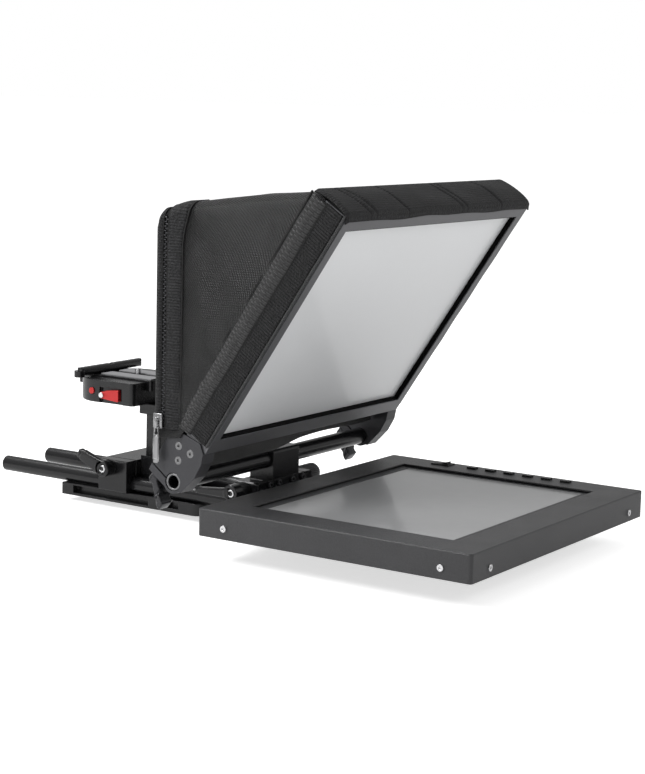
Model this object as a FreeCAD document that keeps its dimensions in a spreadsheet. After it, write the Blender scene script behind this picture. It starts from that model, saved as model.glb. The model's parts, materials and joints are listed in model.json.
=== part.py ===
import FreeCAD, Part
import math
import os
import types
import Sketcher

# Camera teleprompter on two 15 mm rods: a flat monitor, a tilting beam-splitter
# mirror with a fabric hood, and a camera platform on a riser.
# +X is to the right seen from the talent's side, +Y runs rearwards to the camera, +Z is up.
# The origin is the tripod thread in the underside of the base plate.

Vector = FreeCAD.Vector
Rotation = FreeCAD.Rotation
os.makedirs("parts", exist_ok=True)
doc = FreeCAD.newDocument("Teleprompter")
subparts = {}

# ---- driving dimensions, in millimetres and degrees ----

driving = {
    "monitorWidth": 321.0,
    "monitorDepth": 267.0,
    "monitorHeight": 24.2,
    "monitorFront": -440.0,
    "monitorTop": 42.5,
    "sheetWall": 1.5,
    "screenWidth": 252.0,
    "screenDepth": 201.6,
    "frontBezel": 33.0,
    "activeWidth": 245.8,
    "activeDepth": 184.4,
    "buttonPitch": 19.8,
    "buttonColumn": 148.0,
    "firstButton": -269.0,
    "rodSpacing": 60.0,
    "rodRadius": 7.5,
    "rodHeight": 19.3,
    "rodFront": -288.0,
    "rodRear": 165.0,
    "runningGap": 0.05,
    "clampHalfWidth": 44.0,
    "carriageFront": -154.0,
    "carriageRear": -128.0,
    "carriageBottom": 6.0,
    "clampTop": 42.5,
    "boltHeight": 38.5,
    "boltRadius": 3.0,
    "tubeRadius": 8.0,
    "tubeWall": 2.5,
    "tubeLength": 314.0,
    "hingeY": -144.0,
    "hingeZ": 60.5,
    "mirrorTilt": 56.67,
    "mirrorY": -176.7,
    "mirrorZ": 88.4,
    "mirrorWidth": 313.0,
    "mirrorLength": 249.0,
    "frameDepth": 25.0,
    "frameSide": 10.0,
    "frameLow": 14.0,
    "frameHigh": 13.0,
    "glassDepth": 5.2,
    "glassThickness": 3.0,
    "bracketInner": 142.5,
    "plateInner": 156.5,
    "plateOuter": 158.5,
    "fabricInner": 156.7,
    "fabric": 2.2,
    "bandDepth": 27.0,
    "ridgeDepth": 36.5,
    "hoodRear": -123.0,
    "hoodTop": 290.5,
    "hoodLow": 103.5,
    "lensRadius": 55.0,
    "lensHeight": 192.0,
    "sleeveLength": 28.0,
    "zipY": -130.0,
    "baseHalfWidth": 38.0,
    "baseFront": -84.0,
    "baseRear": 85.0,
    "baseHeight": 11.5,
    "rearClampDepth": 34.0,
    "postHalfWidth": 16.0,
    "postFront": -18.0,
    "postRear": -1.0,
    "neckLow": 86.5,
    "platformLow": 96.5,
    "platformHigh": 118.5,
    "platformHalfWidth": 45.0,
    "platformFront": -8.0,
    "platformRear": 70.0,
    "channelFloor": 110.0,
    "plateTop": 120.0,
}

sheet = doc.addObject("Spreadsheet::Sheet", "Sizes")
for row, (alias, amount) in enumerate(driving.items(), start=1):
    sheet.set(f"A{row}", alias)
    sheet.set(f"B{row}", str(amount))
    sheet.setAlias(f"B{row}", alias)
doc.recompute()


class Size:
    """A number and the sheet expression that it comes from."""

    def __init__(self, value, text):
        self.value = value
        self.text = text

    def __add__(self, other):
        other = sizeOf(other)
        return Size(self.value + other.value, f"({self.text} + {other.text})")

    def __sub__(self, other):
        other = sizeOf(other)
        return Size(self.value - other.value, f"({self.text} - {other.text})")

    def __mul__(self, other):
        other = sizeOf(other)
        return Size(self.value * other.value, f"({self.text} * {other.text})")

    def __truediv__(self, other):
        other = sizeOf(other)
        return Size(self.value / other.value, f"({self.text} / {other.text})")

    def __neg__(self):
        return Size(-self.value, f"(-1 * {self.text})")

    __radd__ = __add__

    def __rsub__(self, other):
        return sizeOf(other) - self

    __rmul__ = __mul__


def sizeOf(thing):
    return thing if isinstance(thing, Size) else Size(float(thing), f"({thing})")


def cosine(angle):
    return Size(math.cos(math.radians(angle.value)), f"cos({angle.text})")


def sine(angle):
    return Size(math.sin(math.radians(angle.value)), f"sin({angle.text})")


s = types.SimpleNamespace(**{name: Size(value, "Sizes." + name) for name, value in driving.items()})
rodX = s.rodSpacing / 2
sides = {"left": -1, "right": 1}


# ---- helpers: primitives ----

def bind(item, path, size):
    item.setExpression(path, sizeOf(size).text)


def bindPlace(item, x, y, z):
    for axis, size in zip("xyz", (x, y, z)):
        bind(item, "Placement.Base." + axis, size)


def box(name, x, y, z):
    item = doc.addObject("Part::Box", name)
    for side, (low, high) in zip(("Length", "Width", "Height"), (x, y, z)):
        bind(item, side, sizeOf(high) - low)
    bindPlace(item, x[0], y[0], z[0])
    return item


def cylinder(name, axis, center, radius, span):
    """A cylinder along axis; center holds its other two coordinates in x, y, z order."""
    item = doc.addObject("Part::Cylinder", name)
    bind(item, "Radius", radius)
    bind(item, "Height", sizeOf(span[1]) - span[0])
    turns = {"x": Rotation(Vector(0, 1, 0), 90), "y": Rotation(Vector(1, 0, 0), -90), "z": Rotation()}
    item.Placement = FreeCAD.Placement(Vector(), turns[axis])
    spots = list(center)
    spots.insert("xyz".index(axis), span[0])
    bindPlace(item, *spots)
    return item


def fuse(name, *pieces):
    item = doc.addObject("Part::MultiFuse", name)
    item.Shapes = list(pieces)
    return item


def cut(name, base, *tools):
    item = doc.addObject("Part::Cut", name)
    item.Base = base
    item.Tool = tools[0] if len(tools) == 1 else fuse(name + "_tools", *tools)
    return item


def compound(name, *pieces):
    item = doc.addObject("Part::Compound", name)
    item.Links = list(pieces)
    return item


def roundEdges(name, base, radius, pick):
    base.recompute(True)
    item = doc.addObject("Part::Fillet", name)
    item.Base = base
    item.Edges = [(k, radius, radius) for k, edge in enumerate(base.Shape.Edges, 1) if pick(edge)]
    return item


def keep(name, item):
    """Register a finished sub-part; its Label names its file."""
    item.Label = name
    subparts[name] = item
    return item


def runsAlong(axis):
    """A test for straight edges parallel to one axis."""
    way = {"x": Vector(1, 0, 0), "y": Vector(0, 1, 0), "z": Vector(0, 0, 1)}[axis]
    return lambda edge: edge.Curve.TypeId == "Part::GeomLine" and abs(edge.Curve.Direction.dot(way)) > 0.999


# ---- helpers: bodies ----

def newBody(name):
    return doc.addObject("PartDesign::Body", name)


def newSketch(body, plane, offset=0.0):
    """A sketch on a plane of the body's origin, moved along that plane's normal.

    Normals: XY looks up +Z, YZ looks along +X, XZ looks along -Y."""
    item = body.newObject("Sketcher::SketchObject", body.Name + "_sketch")
    support = next(f for f in body.Origin.OriginFeatures if f.Role == plane + "_Plane")
    item.AttachmentSupport = [(support, "")]
    item.MapMode = "FlatFace"
    bind(item, "AttachmentOffset.Base.z", offset)
    return item


def hold(sketch, kind, geometry, point, size):
    """Bind one coordinate of a sketch point to the sheet."""
    index = sketch.addConstraint(Sketcher.Constraint(kind, -1, 1, geometry, point, size.value))
    sketch.setExpression(f"Constraints[{index}]", size.text)


def outline(sketch, *points):
    """A closed polygon whose corners are bound to the sheet."""
    corners = [(sizeOf(u), sizeOf(v)) for u, v in points]
    first = sketch.GeometryCount
    flat = [Vector(u.value, v.value, 0) for u, v in corners]
    for start, end in zip(flat, flat[1:] + flat[:1]):
        sketch.addGeometry(Part.LineSegment(start, end), False)
    for k, (u, v) in enumerate(corners):
        following = first + (k + 1) % len(corners)
        sketch.addConstraint(Sketcher.Constraint("Coincident", first + k, 2, following, 1))
        hold(sketch, "DistanceX", first + k, 1, u)
        hold(sketch, "DistanceY", first + k, 1, v)


def rectangle(sketch, u, v):
    outline(sketch, (u[0], v[0]), (u[1], v[0]), (u[1], v[1]), (u[0], v[1]))


def circle(sketch, u, v, radius):
    u, v, radius = sizeOf(u), sizeOf(v), sizeOf(radius)
    shape = Part.Circle(Vector(u.value, v.value, 0), Vector(0, 0, 1), radius.value)
    geometry = sketch.addGeometry(shape, False)
    index = sketch.addConstraint(Sketcher.Constraint("Radius", geometry, radius.value))
    sketch.setExpression(f"Constraints[{index}]", radius.text)
    hold(sketch, "DistanceX", geometry, 3, u)
    hold(sketch, "DistanceY", geometry, 3, v)


def feature(kind, body, sketch, length, backwards=False):
    item = body.newObject("PartDesign::" + kind, body.Name + "_" + kind.lower())
    item.Profile = sketch
    bind(item, "Length", length)
    item.Reversed = backwards
    return item


def pad(body, sketch, length, backwards=False):
    """Adds along the sketch plane's normal, or against it when backwards."""
    return feature("Pad", body, sketch, length, backwards)


def pocket(body, sketch, length, backwards=False):
    """Cuts against the sketch plane's normal, or along it when backwards."""
    return feature("Pocket", body, sketch, length, backwards)


def soften(body, radius, pick, kind="Fillet"):
    """Round or chamfer the picked edges of the body's last feature."""
    doc.recompute()
    last = body.Tip
    names = [f"Edge{k}" for k, edge in enumerate(last.Shape.Edges, 1) if pick(edge)]
    item = body.newObject("PartDesign::" + kind, body.Name + "_" + kind.lower())
    item.Base = (last, names)
    setattr(item, "Radius" if kind == "Fillet" else "Size", radius)
    return item


def turned(item, origin, outward, arm):
    """Place an item so that its own +Z points outward and its own +X along arm."""
    outward = Vector(*outward).normalize()
    arm = Vector(*arm).normalize()
    item.Placement = FreeCAD.Placement(Vector(), Rotation(arm, outward.cross(arm), outward, "ZXY"))
    bindPlace(item, *origin)
    return item


# ---- shared pieces: ratchet lever and thumb knob ----

def ratchetLever(name, hub, arm, stud, width, tip):
    """A clamping lever: hub and arm above its own XY plane, threaded stud below it.

    hub and stud are (radius, length), arm is (reach, rise), tip is (length, width)."""
    body = newBody(name)
    armThickness = 6.0
    sketch = newSketch(body, "XY")
    circle(sketch, 0, 0, hub[0])
    pad(body, sketch, hub[1])
    sketch = newSketch(body, "XZ", -width / 2)
    low = hub[1] - armThickness
    outline(sketch, (0, low), (arm[0], low + arm[1]), (arm[0], hub[1] + arm[1]), (0, hub[1]))
    pad(body, sketch, width)
    sketch = newSketch(body, "XZ", -tip[1] / 2)
    rectangle(sketch, (arm[0] - 1, arm[0] + tip[0]), (low + arm[1] - 1, hub[1] + arm[1] + 0.5))
    pad(body, sketch, tip[1])
    socketDepth = 3.5
    sketch = newSketch(body, "XY", hub[1])
    circle(sketch, 0, 0, hub[0] * 0.45)
    pocket(body, sketch, socketDepth)
    sketch = newSketch(body, "XY")
    circle(sketch, 0, 0, stud[0])
    pad(body, sketch, stud[1], backwards=True)
    return keep(name, body)


def thumbKnob(name, radius, length, stud, flutes):
    """A fluted knob above its own XY plane with a stud (radius, length) below it."""
    body = newBody(name)
    sketch = newSketch(body, "XY")
    circle(sketch, 0, 0, stud[0])
    pad(body, sketch, stud[1], backwards=True)
    sketch = newSketch(body, "XY")
    circle(sketch, 0, 0, radius)
    pad(body, sketch, length)
    soften(body, 1.2, lambda edge: abs(edge.CenterOfMass.z - length) < 0.01)
    fluteRadius = 1.3
    sketch = newSketch(body, "XY", length)
    circle(sketch, radius + 0.3, 0, fluteRadius)
    flute = pocket(body, sketch, length * 0.8)
    doc.recompute()
    pattern = body.newObject("PartDesign::PolarPattern", name + "_pattern")
    pattern.Originals = [flute]
    pattern.Axis = (sketch, ["N_Axis"])
    pattern.Angle = 360
    pattern.Occurrences = flutes
    body.Tip = pattern
    return keep(name, body)


# ---- monitor ----

monitorLow = s.monitorTop - s.monitorHeight
monitorRear = s.monitorFront + s.monitorDepth
halfWidth = s.monitorWidth / 2
screenFront = s.monitorFront + s.frontBezel
screenRear = screenFront + s.screenDepth
recessHalf = 55.0
recessFront = -300.0
recessTop = s.monitorTop - 14.0
buttonX = (s.buttonColumn - 3, s.buttonColumn + 3)
buttonYs = [s.firstButton - s.buttonPitch * k for k in range(6)]
buttonHalf = 4.5
rockerX = (141.5, 154.5)
rockerY = (-246.0, -227.0)
socketXs = {"power": (-121.0, -111.0), "hdmi": (-103.0, -88.0), "vga": (-81.0, -62.0)}
socketZ = (s.monitorTop - 18, s.monitorTop - 8)
sideScrewYs = (-412.2, -200.4)
sideScrewZ = s.monitorTop - 14.7
frontScrewX = 131.0
frontScrewZ = s.monitorTop - 16.0
screwShank = 1.5


def monitorHousing():
    body = newBody("monitor_housing")
    sketch = newSketch(body, "XY", monitorLow)
    rectangle(sketch, (-halfWidth, halfWidth), (s.monitorFront, monitorRear))
    pad(body, sketch, s.monitorHeight)
    soften(body, 3.0, runsAlong("z"))
    top = s.monitorTop.value
    soften(body, 1.0, lambda edge: abs(edge.CenterOfMass.z - top) < 0.01)
    sketch = newSketch(body, "XY", monitorLow)
    inner = s.sheetWall
    rectangle(sketch, (-halfWidth + inner, halfWidth - inner), (s.monitorFront + inner, monitorRear - inner))
    pocket(body, sketch, s.monitorHeight - s.sheetWall, backwards=True)
    cutDepth = 4.0
    sketch = newSketch(body, "XY", s.monitorTop)
    rectangle(sketch, (-s.screenWidth / 2, s.screenWidth / 2), (screenFront, screenRear))
    rectangle(sketch, (rockerX[0] + 1, rockerX[1] - 1), (rockerY[0] + 1, rockerY[1] - 1))
    for y in buttonYs:
        gap = 0.2
        rectangle(sketch, (buttonX[0] - gap, buttonX[1] + gap), (y - buttonHalf - gap, y + buttonHalf + gap))
    pocket(body, sketch, cutDepth)
    sketch = newSketch(body, "XZ", -monitorRear + cutDepth / 2)
    rectangle(sketch, (-recessHalf - 1.5, recessHalf + 1.5), (monitorLow - 1, recessTop))
    for low, high in socketXs.values():
        rectangle(sketch, (low, high), socketZ)
    pocket(body, sketch, cutDepth)
    sketch = newSketch(body, "YZ", -halfWidth - 2)
    for y in sideScrewYs:
        circle(sketch, y, sideScrewZ, screwShank + 0.1)
    pocket(body, sketch, s.monitorWidth + 4, backwards=True)
    sketch = newSketch(body, "XZ", -s.monitorFront + 2)
    for sign in sides.values():
        circle(sketch, sign * frontScrewX, frontScrewZ, screwShank + 0.1)
    pocket(body, sketch, s.monitorDepth + 4)
    keep("monitor_housing", body)


def backCover():
    """Bottom sheet with a raised tray where the rods run in under the monitor."""
    body = newBody("back_cover")
    inset = s.sheetWall + 0.1
    sketch = newSketch(body, "XY", monitorLow)
    rectangle(sketch, (-halfWidth + inset, halfWidth - inset), (s.monitorFront + inset, monitorRear - inset))
    pad(body, sketch, s.sheetWall)
    sketch = newSketch(body, "XY", monitorLow)
    rectangle(sketch, (-recessHalf - 1.4, recessHalf + 1.4), (recessFront - 1.4, monitorRear - inset))
    pad(body, sketch, recessTop - monitorLow)
    sketch = newSketch(body, "XY", monitorLow)
    rectangle(sketch, (-recessHalf, recessHalf), (recessFront, monitorRear + 1))
    pocket(body, sketch, recessTop - monitorLow - s.sheetWall, backwards=True)
    keep("back_cover", body)


def display():
    middle = (screenFront + screenRear) / 2
    frameX, frameY = 130.5, 102.0
    low, high = s.monitorTop - 9.0, s.monitorTop - 2.5
    case = box("lcd_case", (-frameX, frameX), (middle - frameY, middle + frameY), (low, high))
    halfX, halfY = s.activeWidth / 2, s.activeDepth / 2
    well = box("lcd_well", (-halfX, halfX), (middle - halfY, middle + halfY), (low + 1, high + 1))
    keep("lcd_frame", cut("lcd_frame", case, well))
    panel = box("lcd_screen", (-halfX, halfX), (middle - halfY, middle + halfY), (low + 1, high - 0.4))
    keep("lcd_screen", panel)


def circuitBoards():
    """Display controller over the tray, and the key strip under the buttons."""
    floor = recessTop + 0.6
    main = box("main_board", (-60, 50), (-385, -225), (floor, floor + 1.6))
    chips = [box(f"chip{k}", (x, x + 16), (y, y + 12), (floor + 1.6, floor + 3.4))
             for k, (x, y) in enumerate(((-50, -370), (-20, -350), (12, -320), (-40, -270)))]
    strip = box("key_strip", (s.buttonColumn - 7, s.buttonColumn + 8), (-380, -258),
                (s.monitorTop - 9, s.monitorTop - 7.4))
    keep("circuit_boards", compound("circuit_boards", fuse("main_board_parts", main, *chips), strip))


def buttons():
    top, flange = s.monitorTop + 1.8, s.monitorTop - s.sheetWall - 0.3
    for number, y in enumerate(buttonYs, start=1):
        name = f"button_{number}"
        cap = box(name + "_cap", buttonX, (y - buttonHalf, y + buttonHalf), (flange - 1, top))
        lip = box(name + "_lip", (buttonX[0] - 1, buttonX[1] + 1), (y - buttonHalf - 1, y + buttonHalf + 1),
                  (flange - 1, flange))
        stem = cylinder(name + "_stem", "z", (s.buttonColumn, y), 1.5, (s.monitorTop - 6, flange - 0.5))
        keep(name, fuse(name, cap, lip, stem))


def powerSwitch():
    rim = box("switch_rim", rockerX, rockerY, (s.monitorTop, s.monitorTop + 1.2))
    shell = box("switch_shell", (rockerX[0] + 1.2, rockerX[1] - 1.2), (rockerY[0] + 1.2, rockerY[1] - 1.2),
                (s.monitorTop - 10, s.monitorTop + 0.5))
    well = box("switch_well", (rockerX[0] + 2.2, rockerX[1] - 2.2), (rockerY[0] + 2.2, rockerY[1] - 2.2),
               (s.monitorTop - 8.5, s.monitorTop + 2))
    keep("switch_frame", cut("switch_frame", fuse("switch_body", rim, shell), well))
    body = newBody("power_rocker")
    start, middle = rockerX[0] + 2.5, (rockerY[0] + rockerY[1]) / 2
    reach, rest = 6.5, s.monitorTop
    sketch = newSketch(body, "YZ", start)
    outline(sketch, (middle - reach, rest - 1.2), (middle - reach, rest + 3.4), (middle, rest + 1.6),
            (middle + reach, rest + 1.4), (middle + reach, rest - 3.0), (middle, rest - 5.5))
    pad(body, sketch, rockerX[1] - 2.5 - start)
    ends = (rockerX[0] + 2.35, rockerX[1] - 2.35)
    pivot = cylinder("rocker_pivot", "x", (middle, rest), 1.2, ends)
    keep("power_rocker", fuse("power_rocker", body, pivot))


def sockets():
    pieces = []
    for kind, (low, high) in socketXs.items():
        shell = box(kind + "_shell", (low + 0.2, high - 0.2), (monitorRear - 14, monitorRear + 0.8),
                    (socketZ[0] + 0.2, socketZ[1] - 0.2))
        mouth = box(kind + "_mouth", (low + 2, high - 2), (monitorRear - 8, monitorRear + 2),
                    (socketZ[0] + 2.5, socketZ[1] - 2.5))
        pieces.append(cut(kind + "_socket", shell, mouth))
    keep("rear_sockets", compound("rear_sockets", *pieces))


def screw(name, axis, center, face, way, head, shank):
    """Button-head screw: head and shank are (radius, length), the head outside face on the side of way."""
    reach = [face, face + sizeOf(way * head[1])]
    deep = [face, face - sizeOf(way * shank[1])]
    rising = way > 0
    top = cylinder(name + "_head", axis, center, head[0], reach if rising else reach[::-1])
    stem = cylinder(name + "_stem", axis, center, shank[0], deep[::-1] if rising else deep)
    inset = [face + sizeOf(way * head[1] * 0.4), face + sizeOf(way * (head[1] + 1))]
    drive = cylinder(name + "_drive", axis, center, head[0] * 0.4, inset if rising else inset[::-1])
    return cut(name, fuse(name + "_solid", top, stem), drive)


def housingScrews():
    head, shank = (2.9, 1.3), (screwShank, 7.0)
    pieces = []
    for side, sign in sides.items():
        for k, y in enumerate(sideScrewYs):
            pieces.append(screw(f"side_{side}_{k}", "x", (y, sideScrewZ), halfWidth * sign, sign, head, shank))
        for place, face, way in (("front", s.monitorFront, -1), ("back", monitorRear, 1)):
            spot = (sign * frontScrewX, frontScrewZ)
            pieces.append(screw(f"{place}_{side}", "y", spot, face, way, head, shank))
    keep("housing_screws", compound("housing_screws", *pieces))


def monitorBracket():
    """Plate in the tray with two blocks that slide on the rods."""
    pieces = [box("tray_plate", (-52, 52), (-296, -178), (recessTop - 3.1, recessTop - s.sheetWall - 0.1))]
    for k, (low, high) in enumerate(((-285.0, -260.0), (-210.0, -185.0))):
        pieces.append(box(f"rod_block_{k}", (-45, 45), (low, high), (5, recessTop - 2.5)))
    bores = [cylinder(f"bracket_bore_{side}", "y", (rodX * sign, s.rodHeight), s.rodRadius + s.runningGap,
                      (-300, -170)) for side, sign in sides.items()]
    taps = [cylinder(f"bracket_tap_{side}", "z", (rodX * sign, -197.5), 2.55, (4, 15)) for side, sign in sides.items()]
    solid = fuse("monitor_bracket_solid", *pieces)
    keep("monitor_bracket", cut("monitor_bracket", solid, *bores, *taps))
    for side, sign in sides.items():
        knob = thumbKnob("monitor_knob_" + side, 8.0, 9.0, (2.5, 6.0), 16)
        turned(knob, (rodX * sign, -197.5, 4.5), (0, 0, -1), (1, 0, 0))


# ---- rods and clamps ----

def rods():
    for side, sign in sides.items():
        shorter = 0 if sign < 0 else 3
        body = newBody("rod_" + side)
        sketch = newSketch(body, "XZ", -s.rodRear + shorter)
        circle(sketch, rodX * sign, s.rodHeight, s.rodRadius)
        pad(body, sketch, s.rodRear - shorter - s.rodFront)
        soften(body, 1.0, lambda edge: edge.Curve.TypeId == "Part::GeomCircle", "Chamfer")
        keep("rod_" + side, body)


def rodClamp(name, front, rear, low, boltY, boltZ, screwXs=()):
    """Block bored for both rods, slit above each bore and drilled across for its clamp bolt."""
    body = newBody(name)
    wide = s.clampHalfWidth
    sketch = newSketch(body, "XZ", -rear)
    rectangle(sketch, (-wide, wide), (low, s.clampTop))
    pad(body, sketch, rear - front)
    soften(body, 2.5, runsAlong("y"))
    slit = 0.75
    sketch = newSketch(body, "XZ", -front + 1)
    for sign in sides.values():
        circle(sketch, rodX * sign, s.rodHeight, s.rodRadius + s.runningGap)
    pocket(body, sketch, rear - front + 2)
    sketch = newSketch(body, "XZ", -front + 1)
    for sign in sides.values():
        rectangle(sketch, (rodX * sign - slit, rodX * sign + slit), (s.rodHeight, s.clampTop + 1))
    pocket(body, sketch, rear - front + 2)
    sketch = newSketch(body, "YZ", -wide - 1)
    circle(sketch, boltY, boltZ, s.boltRadius + s.runningGap)
    pocket(body, sketch, wide * 2 + 2, backwards=True)
    if screwXs:
        sketch = newSketch(body, "XZ", -front)
        for x in screwXs:
            circle(sketch, x, s.clampTop - 10.5, 1.8)
        pocket(body, sketch, 9.0)
    return body


carriageBoltY = -138.0
carriageScrewXs = (-36.0, -12.0, 12.0, 36.0)


def carriage():
    body = rodClamp("carriage_block", s.carriageFront, s.carriageRear, s.carriageBottom, carriageBoltY,
                    s.boltHeight - 4, carriageScrewXs)
    keep("carriage_block", body)
    top = s.clampTop + 27.5
    block = box("tube_block", (-21, 21), (s.carriageFront, s.carriageRear), (s.clampTop, top))
    rounded = roundEdges("tube_block_rounded", block, 3.0,
                         lambda edge: runsAlong("x")(edge) and edge.CenterOfMass.z > s.hingeZ.value)
    bore = cylinder("tube_bore", "x", (s.hingeY, s.hingeZ), s.tubeRadius, (-25, 25))
    slit = box("tube_slit", (-25, 25), (s.hingeY, s.carriageRear + 1), (s.hingeZ - 0.7, s.hingeZ + 0.7))
    holes = [cylinder(f"tube_hole_{k}", "z", (x, -131.6), 1.8, (s.hingeZ - 10, top + 1))
             for k, x in enumerate((-12, 12))]
    keep("tube_clamp", cut("tube_clamp", rounded, bore, slit, *holes))
    head, shank = (3.3, 2.2), (1.8, 8.0)
    pieces = [screw(f"carriage_screw_{k}", "y", (x, s.clampTop - 10.5), s.carriageFront, -1, head, shank)
              for k, x in enumerate(carriageScrewXs)]
    pieces += [screw(f"tube_screw_{k}", "z", (x, -131.6), top, 1, (2.6, 2.0), (1.8, 16.0))
               for k, x in enumerate((-12, 12))]
    keep("carriage_screws", compound("carriage_screws", *pieces))
    lever = ratchetLever("carriage_lever", (8.0, 22.0), (36.0, 0.0), (s.boltRadius, 24.0), 9.0, (4.0, 7.0))
    turned(lever, (-s.clampHalfWidth - 0.2, carriageBoltY, s.boltHeight - 4), (-1, 0, 0), (0, 1, -0.05))
    knob = thumbKnob("carriage_knob", 9.0, 27.0, (s.boltRadius, 24.0), 20)
    turned(knob, (s.clampHalfWidth + 0.2, carriageBoltY, s.boltHeight - 4), (1, 0, 0), (0, 1, 0))


def crossbar():
    body = newBody("crossbar_tube")
    sketch = newSketch(body, "YZ", -s.tubeLength / 2)
    circle(sketch, s.hingeY, s.hingeZ, s.tubeRadius)
    circle(sketch, s.hingeY, s.hingeZ, s.tubeRadius - s.tubeWall)
    pad(body, sketch, s.tubeLength)
    keep("crossbar_tube", body)


# ---- mirror ----

def alongMirror(up, back):
    """World (Y, Z) of a point up the mirror's slope and back from its front face."""
    y = s.mirrorY - cosine(s.mirrorTilt) * up + sine(s.mirrorTilt) * back
    z = s.mirrorZ + sine(s.mirrorTilt) * up + cosine(s.mirrorTilt) * back
    return y, z


def mirrorBox(name, x, up, back):
    item = doc.addObject("Part::Box", name)
    for side, (low, high) in zip(("Length", "Width", "Height"), (x, up, back)):
        bind(item, side, sizeOf(high) - low)
    item.Placement = FreeCAD.Placement(Vector(), Rotation(Vector(1, 0, 0), 180 - s.mirrorTilt.value))
    bind(item, "Placement.Rotation.Angle", 180 - s.mirrorTilt)
    bindPlace(item, x[0], *alongMirror(up[0], back[1]))
    return item


def mirror():
    half, length, depth = s.mirrorWidth / 2, s.mirrorLength, s.frameDepth
    lip = s.glassDepth - 0.2
    outer = mirrorBox("frame_outer", (-half, half), (0, length), (0, depth))
    window = mirrorBox("frame_window", (-half + s.frameSide, half - s.frameSide),
                       (s.frameLow, length - s.frameHigh), (-1, depth + 1))
    rebate = mirrorBox("frame_rebate", (-half + 4.5, half - 4.5), (4.5, length - 4.5), (lip, depth + 1))
    keep("mirror_frame", cut("mirror_frame", outer, window, rebate))
    glassX, glassUp = half - 5, (5, length - 5)
    behind = s.glassDepth + s.glassThickness
    keep("beam_splitter", mirrorBox("beam_splitter", (-glassX, glassX), glassUp, (s.glassDepth, behind)))
    strip = 8.0
    back = (behind + 0.1, behind + 3.1)
    strips = [
        mirrorBox("strip_low", (-glassX, glassX), (5, 5 + strip), back),
        mirrorBox("strip_high", (-glassX, glassX), (length - 5 - strip, length - 5), back),
        mirrorBox("strip_left", (-glassX, -glassX + strip), (5 + strip, length - 5 - strip), back),
        mirrorBox("strip_right", (glassX - strip, glassX), (5 + strip, length - 5 - strip), back),
    ]
    keep("glass_retainers", compound("glass_retainers", *strips))


bracketRear = [(-138.2, 100.1), (-121.5, 75.5), (-117.9, 68.6), (-139.0, 52.5)]
bracketFront = [(-153.1, 52.1), (-167.0, 66.5), (-174.0, 79.0), (-175.9, 88.3)]
bracketScrewSpots = [(-149.7, 92.8), (-162.1, 87.3), (-149.4, 80.1)]
jawWay = Vector(0, 0.795, 0.607)
jawScrewWay = Vector(0, 0.607, -0.795)
jawScrewStart = Vector(0, -123.1, 64.65)
leverX = 150.0


def obliqueCylinder(name, radius, start, way, length):
    item = doc.addObject("Part::Cylinder", name)
    item.Radius = radius
    item.Height = length
    item.Placement = FreeCAD.Placement(start, Rotation(Vector(0, 0, 1), way))
    return item


def bracket(side, sign):
    """Clamp plate that joins the mirror frame to the end of the crossbar."""
    name = "bracket_" + side
    body = newBody(name + "_body")
    plateStart = s.plateInner if sign > 0 else -s.plateOuter
    blockStart = s.bracketInner if sign > 0 else -s.plateInner
    sketch = newSketch(body, "YZ", plateStart)
    outline(sketch, (-151.1, 105.1), *bracketRear, *bracketFront, (-172.6, 97.0))
    pad(body, sketch, s.plateOuter - s.plateInner)
    sketch = newSketch(body, "YZ", blockStart)
    outline(sketch, (-155.6, 101.9), (-150.5, 104.8), *bracketRear, *bracketFront)
    pad(body, sketch, s.plateInner - s.bracketInner)
    sketch = newSketch(body, "YZ", blockStart if sign > 0 else plateStart)
    circle(sketch, s.hingeY, s.hingeZ, s.tubeRadius + 2.3)
    pad(body, sketch, s.plateOuter - s.bracketInner)
    sketch = newSketch(body, "YZ", -170 if sign < 0 else 130)
    circle(sketch, s.hingeY, s.hingeZ, s.tubeRadius + s.runningGap)
    pocket(body, sketch, 40, backwards=True)
    sketch = newSketch(body, "YZ", -170 if sign < 0 else 130)
    inner, outer, across = (-139.0, 61.6), (-116.0, 79.2), 0.75
    outline(sketch, (inner[0] - across * 0.6, inner[1] + across * 0.8), (outer[0] - across * 0.6, outer[1] + across * 0.8),
            (outer[0] + across * 0.6, outer[1] - across * 0.8), (inner[0] + across * 0.6, inner[1] - across * 0.8))
    pocket(body, sketch, 40, backwards=True)
    tools = [obliqueCylinder(name + "_stud_hole", 2.55, jawScrewStart + Vector(sign * leverX, 0, 0) + jawScrewWay * 2,
                             jawScrewWay * -1, 25.5)]
    screws = []
    face = s.plateOuter * sign
    for k, spot in enumerate(bracketScrewSpots):
        span = (face - 14, face - 1.8) if sign > 0 else (face + 1.8, face + 14)
        sink = (face - 1.8, face + 1) if sign > 0 else (face - 1, face + 1.8)
        tools.append(cylinder(f"{name}_hole_{k}", "x", spot, 1.8, span))
        tools.append(cylinder(f"{name}_sink_{k}", "x", spot, 3.7, sink))
        top = (face - 1.75, face) if sign > 0 else (face, face + 1.75)
        stem = (face - 12, face - 1) if sign > 0 else (face + 1, face + 12)
        hexagon = (face - 1.2, face + 1) if sign > 0 else (face - 1, face + 1.2)
        solid = fuse(f"{name}_screw_solid_{k}", cylinder(f"{name}_head_{k}", "x", spot, 3.6, top),
                     cylinder(f"{name}_stem_{k}", "x", spot, 1.75, stem))
        screws.append(cut(f"{name}_screw_{k}", solid, cylinder(f"{name}_drive_{k}", "x", spot, 1.3, hexagon)))
    keep(name, cut(name, body, *tools))
    return screws


def brackets():
    screws = []
    for side, sign in sides.items():
        screws += bracket(side, sign)
        lever = ratchetLever("tilt_lever_" + side, (5.5, 10.0), (17.0, 13.0), (2.5, 22.0), 8.0, (5.0, 12.0))
        start = jawScrewStart + Vector(sign * leverX, 0, 0) + jawScrewWay * 0.2
        turned(lever, tuple(start), tuple(jawScrewWay), tuple(jawWay * -1))
    keep("bracket_screws", compound("bracket_screws", *screws))


# ---- hood ----

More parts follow.
